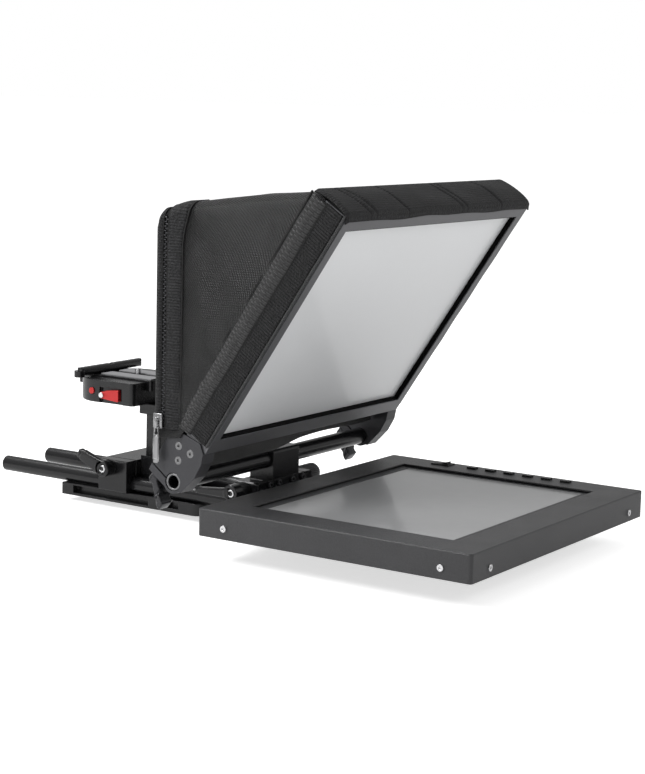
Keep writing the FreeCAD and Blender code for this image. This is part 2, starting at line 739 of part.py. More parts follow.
def sidePiece(name, sign, points, thickness, start):
    """Flat piece parallel to the YZ plane, growing outwards from |x| = start."""
    body = newBody(name)
    sketch = newSketch(body, "YZ", start if sign > 0 else -(sizeOf(start) + thickness))
    outline(sketch, *points)
    pad(body, sketch, thickness)
    return body


hoodRearTop = (s.hoodRear - 1.5, s.hoodTop - 3)
hoodTopLine = [(s.hoodRear - 6, s.hoodTop + 4), (-189.0, 305.8), (-269.0, 314.8)]


def hood():
    bandTop = s.mirrorLength + 0.2 + s.fabric
    bands = []
    for side, sign in sides.items():
        points = [alongMirror(7, 0.3), alongMirror(7, 8.5), alongMirror(3, s.bandDepth),
                  alongMirror(bandTop, s.bandDepth), alongMirror(bandTop, 0.3)]
        bands.append(sidePiece("hook_band_" + side, sign, points, s.fabric, s.fabricInner))
        lower = [alongMirror(3, s.bandDepth), (-150.5, 107.0), (-137.5, 102.6), (s.hoodRear, s.hoodLow)]
        upper = [hoodRearTop, *hoodTopLine, alongMirror(s.mirrorLength, s.ridgeDepth), alongMirror(bandTop, s.bandDepth)]
        panel = sidePiece("hood_side_" + side, sign, lower + upper, s.fabric, s.fabricInner)
        keep("hood_side_" + side, panel)
    keep("hook_bands", compound("hook_bands", *bands))
    keep("hood_flap", mirrorBox("hood_flap", (-s.fabricInner, s.fabricInner),
                                (s.mirrorLength + 0.2, bandTop), (0.3, s.ridgeDepth)))
    body = newBody("hood_top")
    sketch = newSketch(body, "YZ", -s.fabricInner)
    roof = [(s.hoodRear - 2.5, s.hoodTop), *hoodTopLine]
    ceiling = [(u, v - s.fabric) for u, v in roof]
    ridge = [alongMirror(up, s.ridgeDepth + 0.3) for up in (bandTop, s.mirrorLength + 0.2)]
    outline(sketch, *roof, *ridge, *ceiling[::-1])
    pad(body, sketch, s.fabricInner * 2)
    keep("hood_top", body)


def hoodBack():
    """Rear panel with the round lens opening, its soft sleeve, and the floor strip."""
    body = newBody("hood_rear")
    sketch = newSketch(body, "XZ", -s.hoodRear)
    rectangle(sketch, (-s.fabricInner, s.fabricInner), (s.hoodLow, s.hoodTop - s.fabric - 0.5))
    circle(sketch, 0, s.lensHeight, s.lensRadius)
    pad(body, sketch, s.fabric)
    floorHalf = s.bracketInner - 1
    floor = box("hood_floor", (-floorHalf, floorHalf), (-154.0, s.hoodRear - s.fabric), (s.hoodLow, s.hoodLow + s.fabric))
    keep("hood_rear", compound("hood_back_pieces", body, floor))
    body = newBody("lens_sleeve")
    sketch = newSketch(body, "XZ", -(s.hoodRear + s.sleeveLength))
    circle(sketch, 0, s.lensHeight, s.lensRadius + 2.5)
    circle(sketch, 0, s.lensHeight, s.lensRadius)
    pad(body, sketch, s.sleeveLength)
    keep("lens_sleeve", body)


def zipper():
    outside = -(s.fabricInner + s.fabric)
    low, high = s.hoodLow + 3, s.hoodTop - 8
    tape = box("zip_tape", (outside - 0.7, outside), (s.zipY - 15, s.zipY + 5.5), (low, high))
    teeth = box("zip_teeth", (outside - 1.6, outside - 0.7), (s.zipY - 2.2, s.zipY + 2.2), (low, high))
    keep("zipper", fuse("zipper", tape, teeth))
    slide = box("slider_base", (outside - 4.4, outside - 1.9), (s.zipY - 5, s.zipY + 5), (low, low + 14))
    slot = box("slider_slot", (outside - 3.7, outside - 1.0), (s.zipY - 2.5, s.zipY + 2.5), (low - 1, low + 15))
    loop = box("slider_loop", (outside - 7.0, outside - 4.3), (s.zipY - 1.6, s.zipY + 1.6), (low + 1, low + 10))
    eye = cylinder("slider_eye", "y", (outside - 5.6, low + 3.5), 0.72, (s.zipY - 4, s.zipY + 4))
    keep("zip_slider", cut("zip_slider", fuse("slider_solid", cut("slider_shell", slide, slot), loop), eye))
    plate = box("pull_plate", (outside - 6.3, outside - 4.9), (s.zipY - 3, s.zipY + 3), (low - 30, low - 0.6))
    arms = [box(f"pull_arm_{k}", (outside - 6.3, outside - 4.9), span, (low - 2, low + 4.3))
            for k, span in enumerate(((s.zipY - 3.2, s.zipY - 1.9), (s.zipY + 1.9, s.zipY + 3.2)))]
    pin = cylinder("pull_pin", "y", (outside - 5.6, low + 3.5), 0.65, (s.zipY - 3, s.zipY + 3))
    keep("zip_pull", fuse("zip_pull", plate, *arms, pin))


# ---- base, riser and camera platform ----

baseScrewSpots = [(-14.0, 8.0), (14.0, 8.0), (-14.0, 26.0), (14.0, 26.0), (0.0, -30.0)]
rearBolt = (20.0, 35.5)


def basePlate():
    body = newBody("base_plate")
    sketch = newSketch(body, "XY")
    rectangle(sketch, (-s.baseHalfWidth, s.baseHalfWidth), (s.baseFront, s.baseRear))
    pad(body, sketch, s.baseHeight)
    soften(body, 10.0, lambda edge: runsAlong("z")(edge) and edge.CenterOfMass.y < 0)
    for sign in sides.values():
        start = -s.baseHalfWidth if sign < 0 else s.baseHalfWidth
        sketch = newSketch(body, "YZ", start)
        rectangle(sketch, (-22, 71), (2.5, s.baseHeight - 1.5))
        rectangle(sketch, (-58, -42), (3.5, s.baseHeight - 1.5))
        pocket(body, sketch, 7.0, backwards=sign < 0)
    sketch = newSketch(body, "XY")
    circle(sketch, 0, 0, 3.97)
    pocket(body, sketch, 9.0, backwards=True)
    for y, depth in ((-18, 8.2), (45, 7.4)):
        sketch = newSketch(body, "XY")
        circle(sketch, 0, y, 2.55)
        pocket(body, sketch, depth, backwards=True)
    sketch = newSketch(body, "XY")
    for x, y in baseScrewSpots:
        circle(sketch, x, y, 2.6)
    pocket(body, sketch, s.baseHeight + 1, backwards=True)
    sketch = newSketch(body, "XY")
    for x, y in baseScrewSpots:
        circle(sketch, x, y, 4.7)
    pocket(body, sketch, 4.6, backwards=True)
    keep("base_plate", body)


def rearClamp():
    body = rodClamp("rear_clamp", sizeOf(0), s.rearClampDepth, s.baseHeight, *rearBolt)
    sketch = newSketch(body, "XY", s.baseHeight)
    for x, y in baseScrewSpots[:4]:
        circle(sketch, x, y, 2.6)
    pocket(body, sketch, 10.0, backwards=True)
    keep("rear_clamp", body)
    lever = ratchetLever("rear_lever", (8.0, 13.0), (28.0, 0.0), (s.boltRadius, 24.0), 10.0, (4.0, 9.0))
    turned(lever, (-s.clampHalfWidth - 0.2, *rearBolt), (-1, 0, 0), (0, 26, 11))
    pieces = []
    for k, (x, y) in enumerate(baseScrewSpots):
        head = cylinder(f"base_head_{k}", "z", (x, y), 4.4, (0.3, 4.5))
        stem = cylinder(f"base_stem_{k}", "z", (x, y), 2.5, (4, s.baseHeight + 9))
        drive = cylinder(f"base_drive_{k}", "z", (x, y), 2.0, (-1, 2.5))
        pieces.append(cut(f"base_screw_{k}", fuse(f"base_screw_solid_{k}", head, stem), drive))
    keep("base_screws", compound("base_screws", *pieces))


def riser():
    high = s.clampTop + 4
    gap = s.runningGap
    block = box("riser_block", (-22, 22), (-36, -0.1), (s.baseHeight, high))
    slot = box("riser_slot", (-s.postHalfWidth - gap, s.postHalfWidth + gap), (s.postFront - gap, s.postRear + 2),
               (s.baseHeight + 1.5, high + 1))
    tap = cylinder("riser_tap", "x", (-10, s.boltHeight), 2.55, (s.postHalfWidth - 1, 23))
    foot = cylinder("riser_foot_hole", "z", baseScrewSpots[4], 2.6, (s.baseHeight - 1, s.baseHeight + 10))
    keep("riser_socket", cut("riser_socket", block, slot, tap, foot))
    post = box("post", (-s.postHalfWidth, s.postHalfWidth), (s.postFront, s.postRear), (s.baseHeight + 2, s.neckLow))
    keep("riser_post", roundEdges("riser_post", post, 1.0, runsAlong("z")))
    knob = thumbKnob("riser_knob", 8.0, 14.0, (2.5, 5.5), 16)
    turned(knob, (22.2, -10, s.boltHeight), (1, 0, 0), (0, 1, 0))
    neck = box("neck", (-20, 20), (-24, 5), (s.neckLow, s.platformLow))
    keep("platform_neck", roundEdges("platform_neck", neck, 2.0, runsAlong("z")))


leverPivot = (29.0, 104.5)
buttonSpot = (42.0, 107.5)


def platform():
    body = newBody("platform_body")
    wide = s.platformHalfWidth
    sketch = newSketch(body, "XY", s.platformLow)
    rectangle(sketch, (-wide, wide), (s.platformFront, s.platformRear))
    pad(body, sketch, s.platformHigh - s.platformLow)
    soften(body, 30.0, lambda edge: runsAlong("z")(edge) and edge.CenterOfMass.y > 0)
    soften(body, 5.0, lambda edge: runsAlong("z")(edge) and edge.CenterOfMass.y < s.platformFront.value + 1)
    low = s.platformLow.value
    soften(body, 2.0, lambda edge: abs(edge.CenterOfMass.z - low) < 0.01)
    sketch = newSketch(body, "XY", s.platformHigh)
    rectangle(sketch, (-25.3, 25.3), (s.platformFront - 1, s.platformRear + 1))
    pocket(body, sketch, s.platformHigh - s.channelFloor)
    sketch = newSketch(body, "YZ", -wide)
    rectangle(sketch, (6.0, 33.0), (95.0, 112.0))
    pocket(body, sketch, 3.0, backwards=True)
    sketch = newSketch(body, "YZ", -wide)
    circle(sketch, *leverPivot, 1.5)
    circle(sketch, *buttonSpot, 3.05)
    pocket(body, sketch, 9.0, backwards=True)
    keep("platform_body", body)
    body = newBody("platform_lever")
    sketch = newSketch(body, "YZ", -wide - 1.5)
    outline(sketch, (9, 99.5), (22, 100.5), (30, 101.5), (32, 104.5), (30, 107.5), (22, 109.5), (9, 111))
    pad(body, sketch, 4.2)
    soften(body, 1.0, lambda edge: runsAlong("x")(edge) and edge.CenterOfMass.y < 10)
    sketch = newSketch(body, "YZ", -wide - 2)
    circle(sketch, *leverPivot, 1.55)
    pocket(body, sketch, 6.0, backwards=True)
    keep("platform_lever", body)
    pin = cylinder("pivot_pin", "x", leverPivot, 1.5, (-wide - 1.6, -wide + 8))
    cap = cylinder("pivot_cap", "x", leverPivot, 2.6, (-wide - 3, -wide - 1.5))
    keep("lever_pivot", fuse("lever_pivot", pin, cap))
    press = cylinder("safety_button", "x", buttonSpot, 3.0, (-wide - 1.2, -wide + 6))
    keep("safety_button", press)


def cameraPlate():
    low = s.channelFloor + 0.2
    plate = box("plate_block", (-25, 25), (-14, 76), (low, s.plateTop))
    rounded = roundEdges("plate_rounded", plate, 3.0, runsAlong("z"))
    slot = box("plate_slot", (-3.4, 3.4), (8, 46), (low - 1, s.plateTop + 1))
    relief = box("plate_relief", (-8.6, 8.6), (4, 50), (low - 1, low + 4.6))
    keep("slide_plate", cut("slide_plate", rounded, slot, relief))
    lanes = [box(f"pad_{k}", x, (-11, 50), (s.plateTop, s.plateTop + 1)) for k, x in enumerate(((-22, -5), (5, 22)))]
    keep("plate_pads", compound("plate_pads", *lanes))
    top = s.plateTop
    bar = box("bar", (-45, 47), (54, 62), (top, top + 8))
    rounded = roundEdges("bar_rounded", bar, 3.0, lambda edge: runsAlong("x")(edge) or runsAlong("z")(edge))
    notch = box("bar_notch", (-2, 4), (53, 63), (top + 7, top + 9))
    catch = cylinder("bar_catch", "z", (-45, 58), 5.0, (top - 1.2, top + 5))
    keep("stop_bar", fuse("stop_bar", cut("bar_cut", rounded, notch), catch))
    spot = (0, 22)
    head = cylinder("screw_head", "z", spot, 8.0, (low, low + 4))
    slotDrive = box("screw_drive", (-9, 9), (21.2, 22.8), (low - 1, low + 1.5))
    shank = cylinder("screw_shank", "z", spot, 2.7, (low + 3, top + 1))
    thread = cylinder("screw_thread", "z", spot, 3.17, (top + 0.6, top + 6))
    keep("camera_screw", cut("camera_screw", fuse("camera_screw_solid", head, shank, thread), slotDrive))


# ---- build, check and write ----

for build in (monitorHousing, backCover, display, circuitBoards, buttons, powerSwitch, sockets, housingScrews,
              monitorBracket, rods, carriage, crossbar, mirror, brackets, hood, hoodBack, zipper, basePlate,
              rearClamp, riser, platform, cameraPlate):
    build()
doc.recompute()

problems = [item.Name for item in doc.Objects if {"Invalid", "Error"} & set(item.State)]
for name, item in subparts.items():
    shape = item.Shape
    if shape.isNull() or not shape.isValid() or not shape.Solids:
        problems.append(name)
if problems:
    raise RuntimeError("failed: " + ", ".join(problems))
for name, item in subparts.items():
    item.Shape.exportStep(f"parts/{name}.step")
    extent = item.Shape.BoundBox
    print(f"{name}: {len(item.Shape.Solids)} solid(s), {item.Shape.Volume / 1000:.2f} cm3,",
          f"{extent.XLength:.1f} x {extent.YLength:.1f} x {extent.ZLength:.1f} mm")
print(len(subparts), "sub-parts")
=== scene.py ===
import json
import math

import bmesh
import bpy
from mathutils import Matrix, Vector, noise


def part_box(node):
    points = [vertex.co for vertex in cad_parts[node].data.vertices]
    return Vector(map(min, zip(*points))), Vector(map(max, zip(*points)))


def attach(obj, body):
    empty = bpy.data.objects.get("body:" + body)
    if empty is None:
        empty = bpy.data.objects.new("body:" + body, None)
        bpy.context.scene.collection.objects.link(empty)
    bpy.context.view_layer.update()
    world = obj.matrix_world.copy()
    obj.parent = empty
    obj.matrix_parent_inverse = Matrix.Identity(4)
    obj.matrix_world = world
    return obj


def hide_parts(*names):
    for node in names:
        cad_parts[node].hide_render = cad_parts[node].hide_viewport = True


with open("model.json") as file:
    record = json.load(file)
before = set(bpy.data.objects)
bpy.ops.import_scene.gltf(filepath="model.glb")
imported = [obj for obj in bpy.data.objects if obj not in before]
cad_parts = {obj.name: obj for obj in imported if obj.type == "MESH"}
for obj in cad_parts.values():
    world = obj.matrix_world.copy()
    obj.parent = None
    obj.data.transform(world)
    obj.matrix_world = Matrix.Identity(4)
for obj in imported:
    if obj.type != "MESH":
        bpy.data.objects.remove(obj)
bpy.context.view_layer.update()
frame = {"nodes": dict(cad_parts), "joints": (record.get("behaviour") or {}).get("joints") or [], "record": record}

nodes = frame["nodes"]
joints = {joint["name"]: joint for joint in frame["joints"]}
slotColors = {item["slot"]: item["base_color"] for item in frame["record"]["materials"]}

shot = {
    "place": (-1.4588, -1.1453, 0.3970), "target": (-0.37967, -0.440, 0.19973), "roll": 1.48, "lens": 90.15,
    "floor": -0.0065, "floorSize": 40.0, "floorShade": 0.9, "floorGlow": 0.66, "sky": 0.48, "backdrop": 1.0,
    # place, aim, size and power of each light
    "lights": {
        "keyLight": ((-1.35, 0.45, 1.15), (-0.1, -0.15, 0.15), (0.7, 0.5), 19),
        "frontLight": ((0.9, -1.9, 1.3), (0, -0.2, 0.1), (1.0, 0.6), 9),
        "rimLight": ((-0.3, 1.0, 1.8), (0, -0.3, 0.04), (1.3, 0.5), 24),
    },
}


def math2(tree, operation, first, second=None, third=None):
    node = tree.nodes.new("ShaderNodeMath")
    node.operation = operation
    for index, value in enumerate((first, second, third)):
        if value is None:
            continue
        if isinstance(value, (int, float)):
            node.inputs[index].default_value = value
        else:
            tree.links.new(value, node.inputs[index])
    return node.outputs[0]


def makeCamera():
    data = bpy.data.cameras.new("camera")
    data.lens = shot["lens"]
    data.sensor_width = 36.0
    data.clip_end = 200.0
    camera = bpy.data.objects.new("camera", data)
    bpy.context.scene.collection.objects.link(camera)
    look = Vector(shot["target"]) - Vector(shot["place"])
    turn = look.to_track_quat("-Z", "Y").to_matrix().to_4x4()
    roll = Matrix.Rotation(math.radians(shot["roll"]), 4, "Z")
    camera.matrix_world = Matrix.Translation(shot["place"]) @ turn @ roll
    bpy.context.scene.camera = camera


def areaLight(name, place, aim, size, power):
    data = bpy.data.lights.new(name, "AREA")
    data.shape = "RECTANGLE"
    data.size, data.size_y = size
    data.energy = power
    lamp = bpy.data.objects.new(name, data)
    bpy.context.scene.collection.objects.link(lamp)
    turn = (Vector(aim) - Vector(place)).to_track_quat("-Z", "Y").to_matrix().to_4x4()
    lamp.matrix_world = Matrix.Translation(place) @ turn


def makeStudio():
    scene = bpy.context.scene
    scene.view_settings.view_transform = "Standard"
    world = bpy.data.worlds.new("studio")
    scene.world = world
    world.use_nodes = True
    tree = world.node_tree
    ray = tree.nodes.new("ShaderNodeLightPath")
    # the camera sees a white backdrop, the piece is lit by a dimmer sky
    brightness = math2(tree, "MULTIPLY_ADD", ray.outputs["Is Camera Ray"], shot["backdrop"] - shot["sky"],
                       shot["sky"])
    tree.nodes["Background"].inputs["Color"].default_value = (1, 1, 1, 1)
    tree.links.new(brightness, tree.nodes["Background"].inputs["Strength"])
    bm = bmesh.new()
    bmesh.ops.create_grid(bm, x_segments=1, y_segments=1, size=shot["floorSize"])
    bmesh.ops.translate(bm, verts=bm.verts, vec=(0, 0, shot["floor"]))
    mesh = bpy.data.meshes.new("floor")
    bm.to_mesh(mesh)
    bm.free()
    floor = bpy.data.objects.new("floor", mesh)
    scene.collection.objects.link(floor)
    paint = bpy.data.materials.new("paleFloor")
    paint.use_nodes = True
    shader = paint.node_tree.nodes["Principled BSDF"]
    shader.inputs["Base Color"].default_value = (shot["floorShade"],) * 3 + (1,)
    shader.inputs["Roughness"].default_value = 0.7
    shader.inputs["Emission Color"].default_value = (1, 1, 1, 1)
    ray = paint.node_tree.nodes.new("ShaderNodeLightPath")
    glow = math2(paint.node_tree, "MULTIPLY", ray.outputs["Is Camera Ray"], shot["floorGlow"])
    paint.node_tree.links.new(glow, shader.inputs["Emission Strength"])
    mesh.materials.append(paint)
    for name, (place, aim, size, power) in shot["lights"].items():
        areaLight(name, place, aim, size, power)


makeCamera()
makeStudio()
print("studio ready")


def newGroup(name, inputs, outputs):
    group = bpy.data.node_groups.new(name, "ShaderNodeTree")
    for label, kind, value in inputs:
        socket = group.interface.new_socket(name=label, in_out="INPUT", socket_type=kind)
        if value is not None:
            socket.default_value = value
    for label, kind in outputs:
        group.interface.new_socket(name=label, in_out="OUTPUT", socket_type=kind)
    start = group.nodes.new("NodeGroupInput")
    end = group.nodes.new("NodeGroupOutput")
    return group, start, end


def mixColor(tree, factor, first, second):
    node = tree.nodes.new("ShaderNodeMix")
    node.data_type = "RGBA"
    for socket, value in ((node.inputs[0], factor), (node.inputs[6], first), (node.inputs[7], second)):
        if isinstance(value, (int, float, tuple)):
            socket.default_value = value
        else:
            tree.links.new(value, socket)
    return node.outputs[2]


def noiseValue(tree, vector, scale, detail=3.0, roughness=0.55):
    node = tree.nodes.new("ShaderNodeTexNoise")
    node.inputs["Detail"].default_value = detail
    node.inputs["Roughness"].default_value = roughness
    if isinstance(scale, (int, float)):
        node.inputs["Scale"].default_value = scale
    else:
        tree.links.new(scale, node.inputs["Scale"])
    tree.links.new(vector, node.inputs["Vector"])
    return node.outputs[0]


def awayFrom(tree, value, middle):
    return math2(tree, "SUBTRACT", value, middle)


def times(tree, first, second):
    return math2(tree, "MULTIPLY", first, second)


def plus(tree, first, second):
    return math2(tree, "ADD", first, second)


def scaleColor(tree, color, shade):
    node = tree.nodes.new("ShaderNodeVectorMath")
    node.operation = "SCALE"
    tree.links.new(color, node.inputs[0])
    tree.links.new(shade, node.inputs["Scale"])
    return node.outputs[0]


def makeGrainGroup():
    tree, start, end = newGroup("surfaceGrain", [
        ("Vector", "NodeSocketVector", None), ("Color", "NodeSocketColor", (0.05, 0.05, 0.05, 1)),
        ("Scale", "NodeSocketFloat", 1500.0), ("Variation", "NodeSocketFloat", 0.15),
        ("Roughness", "NodeSocketFloat", 0.4), ("Spread", "NodeSocketFloat", 0.1),
    ], [("Color", "NodeSocketColor"), ("Roughness", "NodeSocketFloat"), ("Height", "NodeSocketFloat")])
    vector, variation = start.outputs["Vector"], start.outputs["Variation"]
    fine = noiseValue(tree, vector, start.outputs["Scale"], 2.0)
    broad = noiseValue(tree, vector, 22.0, 4.0)
    lift = plus(tree, times(tree, awayFrom(tree, broad, 0.5), variation),
                 times(tree, awayFrom(tree, fine, 0.5), variation))
    tree.links.new(scaleColor(tree, start.outputs["Color"], plus(tree, lift, 1.0)), end.inputs["Color"])
    wobble = times(tree, awayFrom(tree, broad, 0.5), start.outputs["Spread"])
    tree.links.new(plus(tree, start.outputs["Roughness"], wobble), end.inputs["Roughness"])
    tree.links.new(fine, end.inputs["Height"])
    return tree


def makeWeaveGroup():
    # plain weave from a vector counted in threads
    tree, start, end = newGroup("wovenThreads", [
        ("Vector", "NodeSocketVector", None), ("Color", "NodeSocketColor", (0.02, 0.02, 0.02, 1)),
        ("Contrast", "NodeSocketFloat", 0.5), ("Roughness", "NodeSocketFloat", 0.7),
    ], [("Color", "NodeSocketColor"), ("Roughness", "NodeSocketFloat"), ("Height", "NodeSocketFloat")])
    split = tree.nodes.new("ShaderNodeSeparateXYZ")
    tree.links.new(start.outputs["Vector"], split.inputs[0])
    waves, cells = [], []
    for axis in (0, 1):
        position = split.outputs[axis]
        waves.append(math2(tree, "ABSOLUTE", math2(tree, "SINE", times(tree, position, math.pi))))
        cells.append(math2(tree, "FLOOR", position))
    checker = math2(tree, "PINGPONG", plus(tree, cells[0], cells[1]), 1.0)
    warp = times(tree, waves[0], checker)
    weft = times(tree, waves[1], math2(tree, "SUBTRACT", 1.0, checker))
    height = plus(tree, warp, weft)
    slub = noiseValue(tree, start.outputs["Vector"], 0.35, 4.0)
    mottled = noiseValue(tree, start.outputs["Vector"], 0.03, 3.0)
    # colour falls with the threads' height: painted shade between threads and ribs, plus random slub and mottled
    # tone
    level = times(tree, plus(tree, awayFrom(tree, height, 0.6), awayFrom(tree, slub, 0.5)),
                    start.outputs["Contrast"])
    level = plus(tree, level, times(tree, awayFrom(tree, mottled, 0.5), 1.4))
    tree.links.new(scaleColor(tree, start.outputs["Color"], plus(tree, level, 1.0)), end.inputs["Color"])
    sheen = plus(tree, start.outputs["Roughness"], times(tree, height, -0.12))
    tree.links.new(sheen, end.inputs["Roughness"])
    tree.links.new(plus(tree, height, times(tree, slub, 0.6)), end.inputs["Height"])
    return tree


def makePileGroup():
    # hook-and-loop pile: short curled hairs in rows
    tree, start, end = newGroup("curledPile", [
        ("Vector", "NodeSocketVector", None), ("Color", "NodeSocketColor", (0.02, 0.02, 0.02, 1)),
        ("Contrast", "NodeSocketFloat", 0.8), ("Rows", "NodeSocketFloat", 0.9),
    ], [("Color", "NodeSocketColor"), ("Height", "NodeSocketFloat")])
    hairs = tree.nodes.new("ShaderNodeTexVoronoi")
    hairs.inputs["Scale"].default_value = 1.6
    tree.links.new(start.outputs["Vector"], hairs.inputs["Vector"])
    fuzz = noiseValue(tree, start.outputs["Vector"], 1.7, 5.0, 0.7)
    patches = noiseValue(tree, start.outputs["Vector"], 0.16, 2.0)
    split = tree.nodes.new("ShaderNodeSeparateXYZ")
    tree.links.new(start.outputs["Vector"], split.inputs[0])
    rows = math2(tree, "ABSOLUTE", math2(tree, "SINE", times(tree, split.outputs[1], math.pi)))
    worn = times(tree, awayFrom(tree, patches, 0.30), 2.6)
    rows = times(tree, awayFrom(tree, rows, 0.5), worn)
    height = plus(tree, times(tree, hairs.outputs["Distance"], 0.6), times(tree, fuzz, 1.2))
    height = plus(tree, height, times(tree, rows, start.outputs["Rows"]))
    # colour falls with the pile's height: painted shade in the hollows between hairs and rows
    level = times(tree, awayFrom(tree, height, 0.9), start.outputs["Contrast"])
    shade = math2(tree, "MAXIMUM", plus(tree, level, 1.0), 0.2)
    tree.links.new(scaleColor(tree, start.outputs["Color"], shade), end.inputs["Color"])
    tree.links.new(height, end.inputs["Height"])
    return tree


grainGroup = makeGrainGroup()
weaveGroup = makeWeaveGroup()
pileGroup = makePileGroup()


def startMaterial(name, **values):
    material = bpy.data.materials.new(name)
    material.use_nodes = True
    shader = material.node_tree.nodes["Principled BSDF"]
    for label, value in values.items():
        shader.inputs[label.replace("_", " ")].default_value = value
    return material, material.node_tree, shader


def placeGroup(tree, group, **values):
    node = tree.nodes.new("ShaderNodeGroup")
    node.node_tree = group
    for label, value in values.items():
        node.inputs[label].default_value = value
    return node


def addBump(tree, shader, height, depth, edge=0.0):
    bump = tree.nodes.new("ShaderNodeBump")
    if edge:
        rounded = tree.nodes.new("ShaderNodeBevel")
        rounded.inputs["Radius"].default_value = edge
        tree.links.new(rounded.outputs[0], bump.inputs["Normal"])
    bump.inputs["Distance"].default_value = depth
    bump.inputs["Strength"].default_value = 1.0
    tree.links.new(height, bump.inputs["Height"])
    tree.links.new(bump.outputs[0], shader.inputs["Normal"])


def slotColor(slot, shade):
    return tuple(channel * shade for channel in slotColors[slot][:3]) + (1,)


# painted, anodised or moulded surface with a fine grain; its corners catch light over the radius edge
def hardFinish(name, slot, shade, roughness, metallic, scale, depth, variation=0.12, spread=0.1, edge=0.0008,
               **extra):
    material, tree, shader = startMaterial(name, Metallic=metallic, **extra)
    place = tree.nodes.new("ShaderNodeTexCoord")
    grain = placeGroup(tree, grainGroup, Color=slotColor(slot, shade), Scale=scale, Variation=variation,
                       Roughness=roughness, Spread=spread)
    tree.links.new(place.outputs["Object"], grain.inputs["Vector"])
    tree.links.new(grain.outputs["Color"], shader.inputs["Base Color"])
    tree.links.new(grain.outputs["Roughness"], shader.inputs["Roughness"])
    addBump(tree, shader, grain.outputs["Height"], depth, edge=edge)
    return material


# cloth on the piece's own UV map; threads is how many there are across and along it
def clothFinish(name, slot, shade, threads, roughness, depth, group=weaveGroup, contrast=0.5, **extra):
    material, tree, shader = startMaterial(name, Roughness=roughness, **extra)
    place = tree.nodes.new("ShaderNodeTexCoord")
    scale = tree.nodes.new("ShaderNodeMapping")
    scale.inputs["Scale"].default_value = (threads[0], threads[1], 1)
    tree.links.new(place.outputs["UV"], scale.inputs["Vector"])
    cloth = placeGroup(tree, group, Color=slotColor(slot, shade), Contrast=contrast)
    tree.links.new(scale.outputs[0], cloth.inputs["Vector"])
    tree.links.new(cloth.outputs["Color"], shader.inputs["Base Color"])
    if "Roughness" in cloth.outputs:
        cloth.inputs["Roughness"].default_value = roughness
        tree.links.new(cloth.outputs["Roughness"], shader.inputs["Roughness"])
    addBump(tree, shader, cloth.outputs["Height"], depth)
    return material


powder = hardFinish("blackPowderCoat", "black_powder", 0.66, 0.38, 0.0, 900.0, 0.00030, 0.5, 0.2, 0.0018)
anodised = hardFinish("blackAnodised", "black_anodised", 0.12, 0.22, 0.0, 3000.0, 0.00003, 0.1, 0.1, 0.0012,
                      Specular_IOR_Level=0.4)
satinPlate = hardFinish("satinPlate", "black_anodised", 0.75, 0.42, 0.3, 2600.0, 0.00006, 0.2, 0.15)
frameMetal = hardFinish("darkFrame", "dark_frame", 1.35, 0.40, 0.5, 3000.0, 0.00003, 0.1, 0.12)
bezel = hardFinish("panelBezel", "bezel_steel", 0.48, 0.5, 0.2, 2500.0, 0.00003)
blackSteel = hardFinish("blackSteel", "black_steel", 0.6, 0.26, 0.7, 2500.0, 0.00003, 0.2, 0.15)
blackPlastic = hardFinish("blackPlastic", "black_plastic", 0.4, 0.34, 0.0, 2200.0, 0.00005)
keyPlastic = hardFinish("keyPlastic", "key_plastic", 0.10, 0.26, 0.0, 2000.0, 0.00003)
steel = hardFinish("brightSteel", "steel", 1.0, 0.22, 1.0, 2500.0, 0.00002, 0.1, 0.1)
greySteel = hardFinish("greySteel", "steel", 0.30, 0.30, 1.0, 2500.0, 0.00003, 0.1, 0.1)
nickel = hardFinish("satinNickel", "zip_metal", 0.42, 0.30, 1.0, 2500.0, 0.00004, 0.25, 0.2)
rubber = hardFinish("padRubber", "pad_rubber", 1.4, 0.6, 0.0, 1800.0, 0.0001)
redAnodised = hardFinish("redAnodised", "red_anodised", 0.75, 0.3, 0.35, 3000.0, 0.00003)
greenBoard = hardFinish("circuitBoard", "circuit", 1.0, 0.5, 0.0, 400.0, 0.0001)
gasketRubber = hardFinish("gasketRubber", "black_plastic", 0.10, 0.9, 0.0, 2000.0, 0.00003,
                          Specular_IOR_Level=0.08)


def screenFinish():
    material, tree, shader = startMaterial("screenGlass", Roughness=0.42, Coat_Weight=0.7, Coat_Roughness=0.12)
    place = tree.nodes.new("ShaderNodeTexCoord")
    dust = noiseValue(tree, place.outputs["Object"], 90.0, 6.0)
    # the light grey base is painted reflection standing in for what the screen's glass reflects; the noise adds a
    # little dust
    paintedReflectionGrey = mixColor(tree, dust, (0.31, 0.312, 0.316, 1), (0.34, 0.342, 0.346, 1))
    tree.links.new(paintedReflectionGrey, shader.inputs["Base Color"])
    return material


def splitterFinish():
    material, tree, shader = startMaterial("halfSilveredGlass", Metallic=0.20, Coat_Weight=0.4,
                                           Coat_Roughness=0.06)
    place = tree.nodes.new("ShaderNodeTexCoord")
    haze = noiseValue(tree, place.outputs["Object"], 6.0, 3.0)
    # the light base colour is the silvered coating plus painted reflection standing in for what the glass
    # reflects; haze noise varies it
    silverAndPaintedReflection = mixColor(tree, haze, (0.80, 0.81, 0.82, 1), (0.86, 0.87, 0.88, 1))
    tree.links.new(silverAndPaintedReflection, shader.inputs["Base Color"])
    tree.links.new(plus(tree, times(tree, haze, 0.04), 0.40), shader.inputs["Roughness"])
    return material


screenGlass = screenFinish()
splitterGlass = splitterFinish()

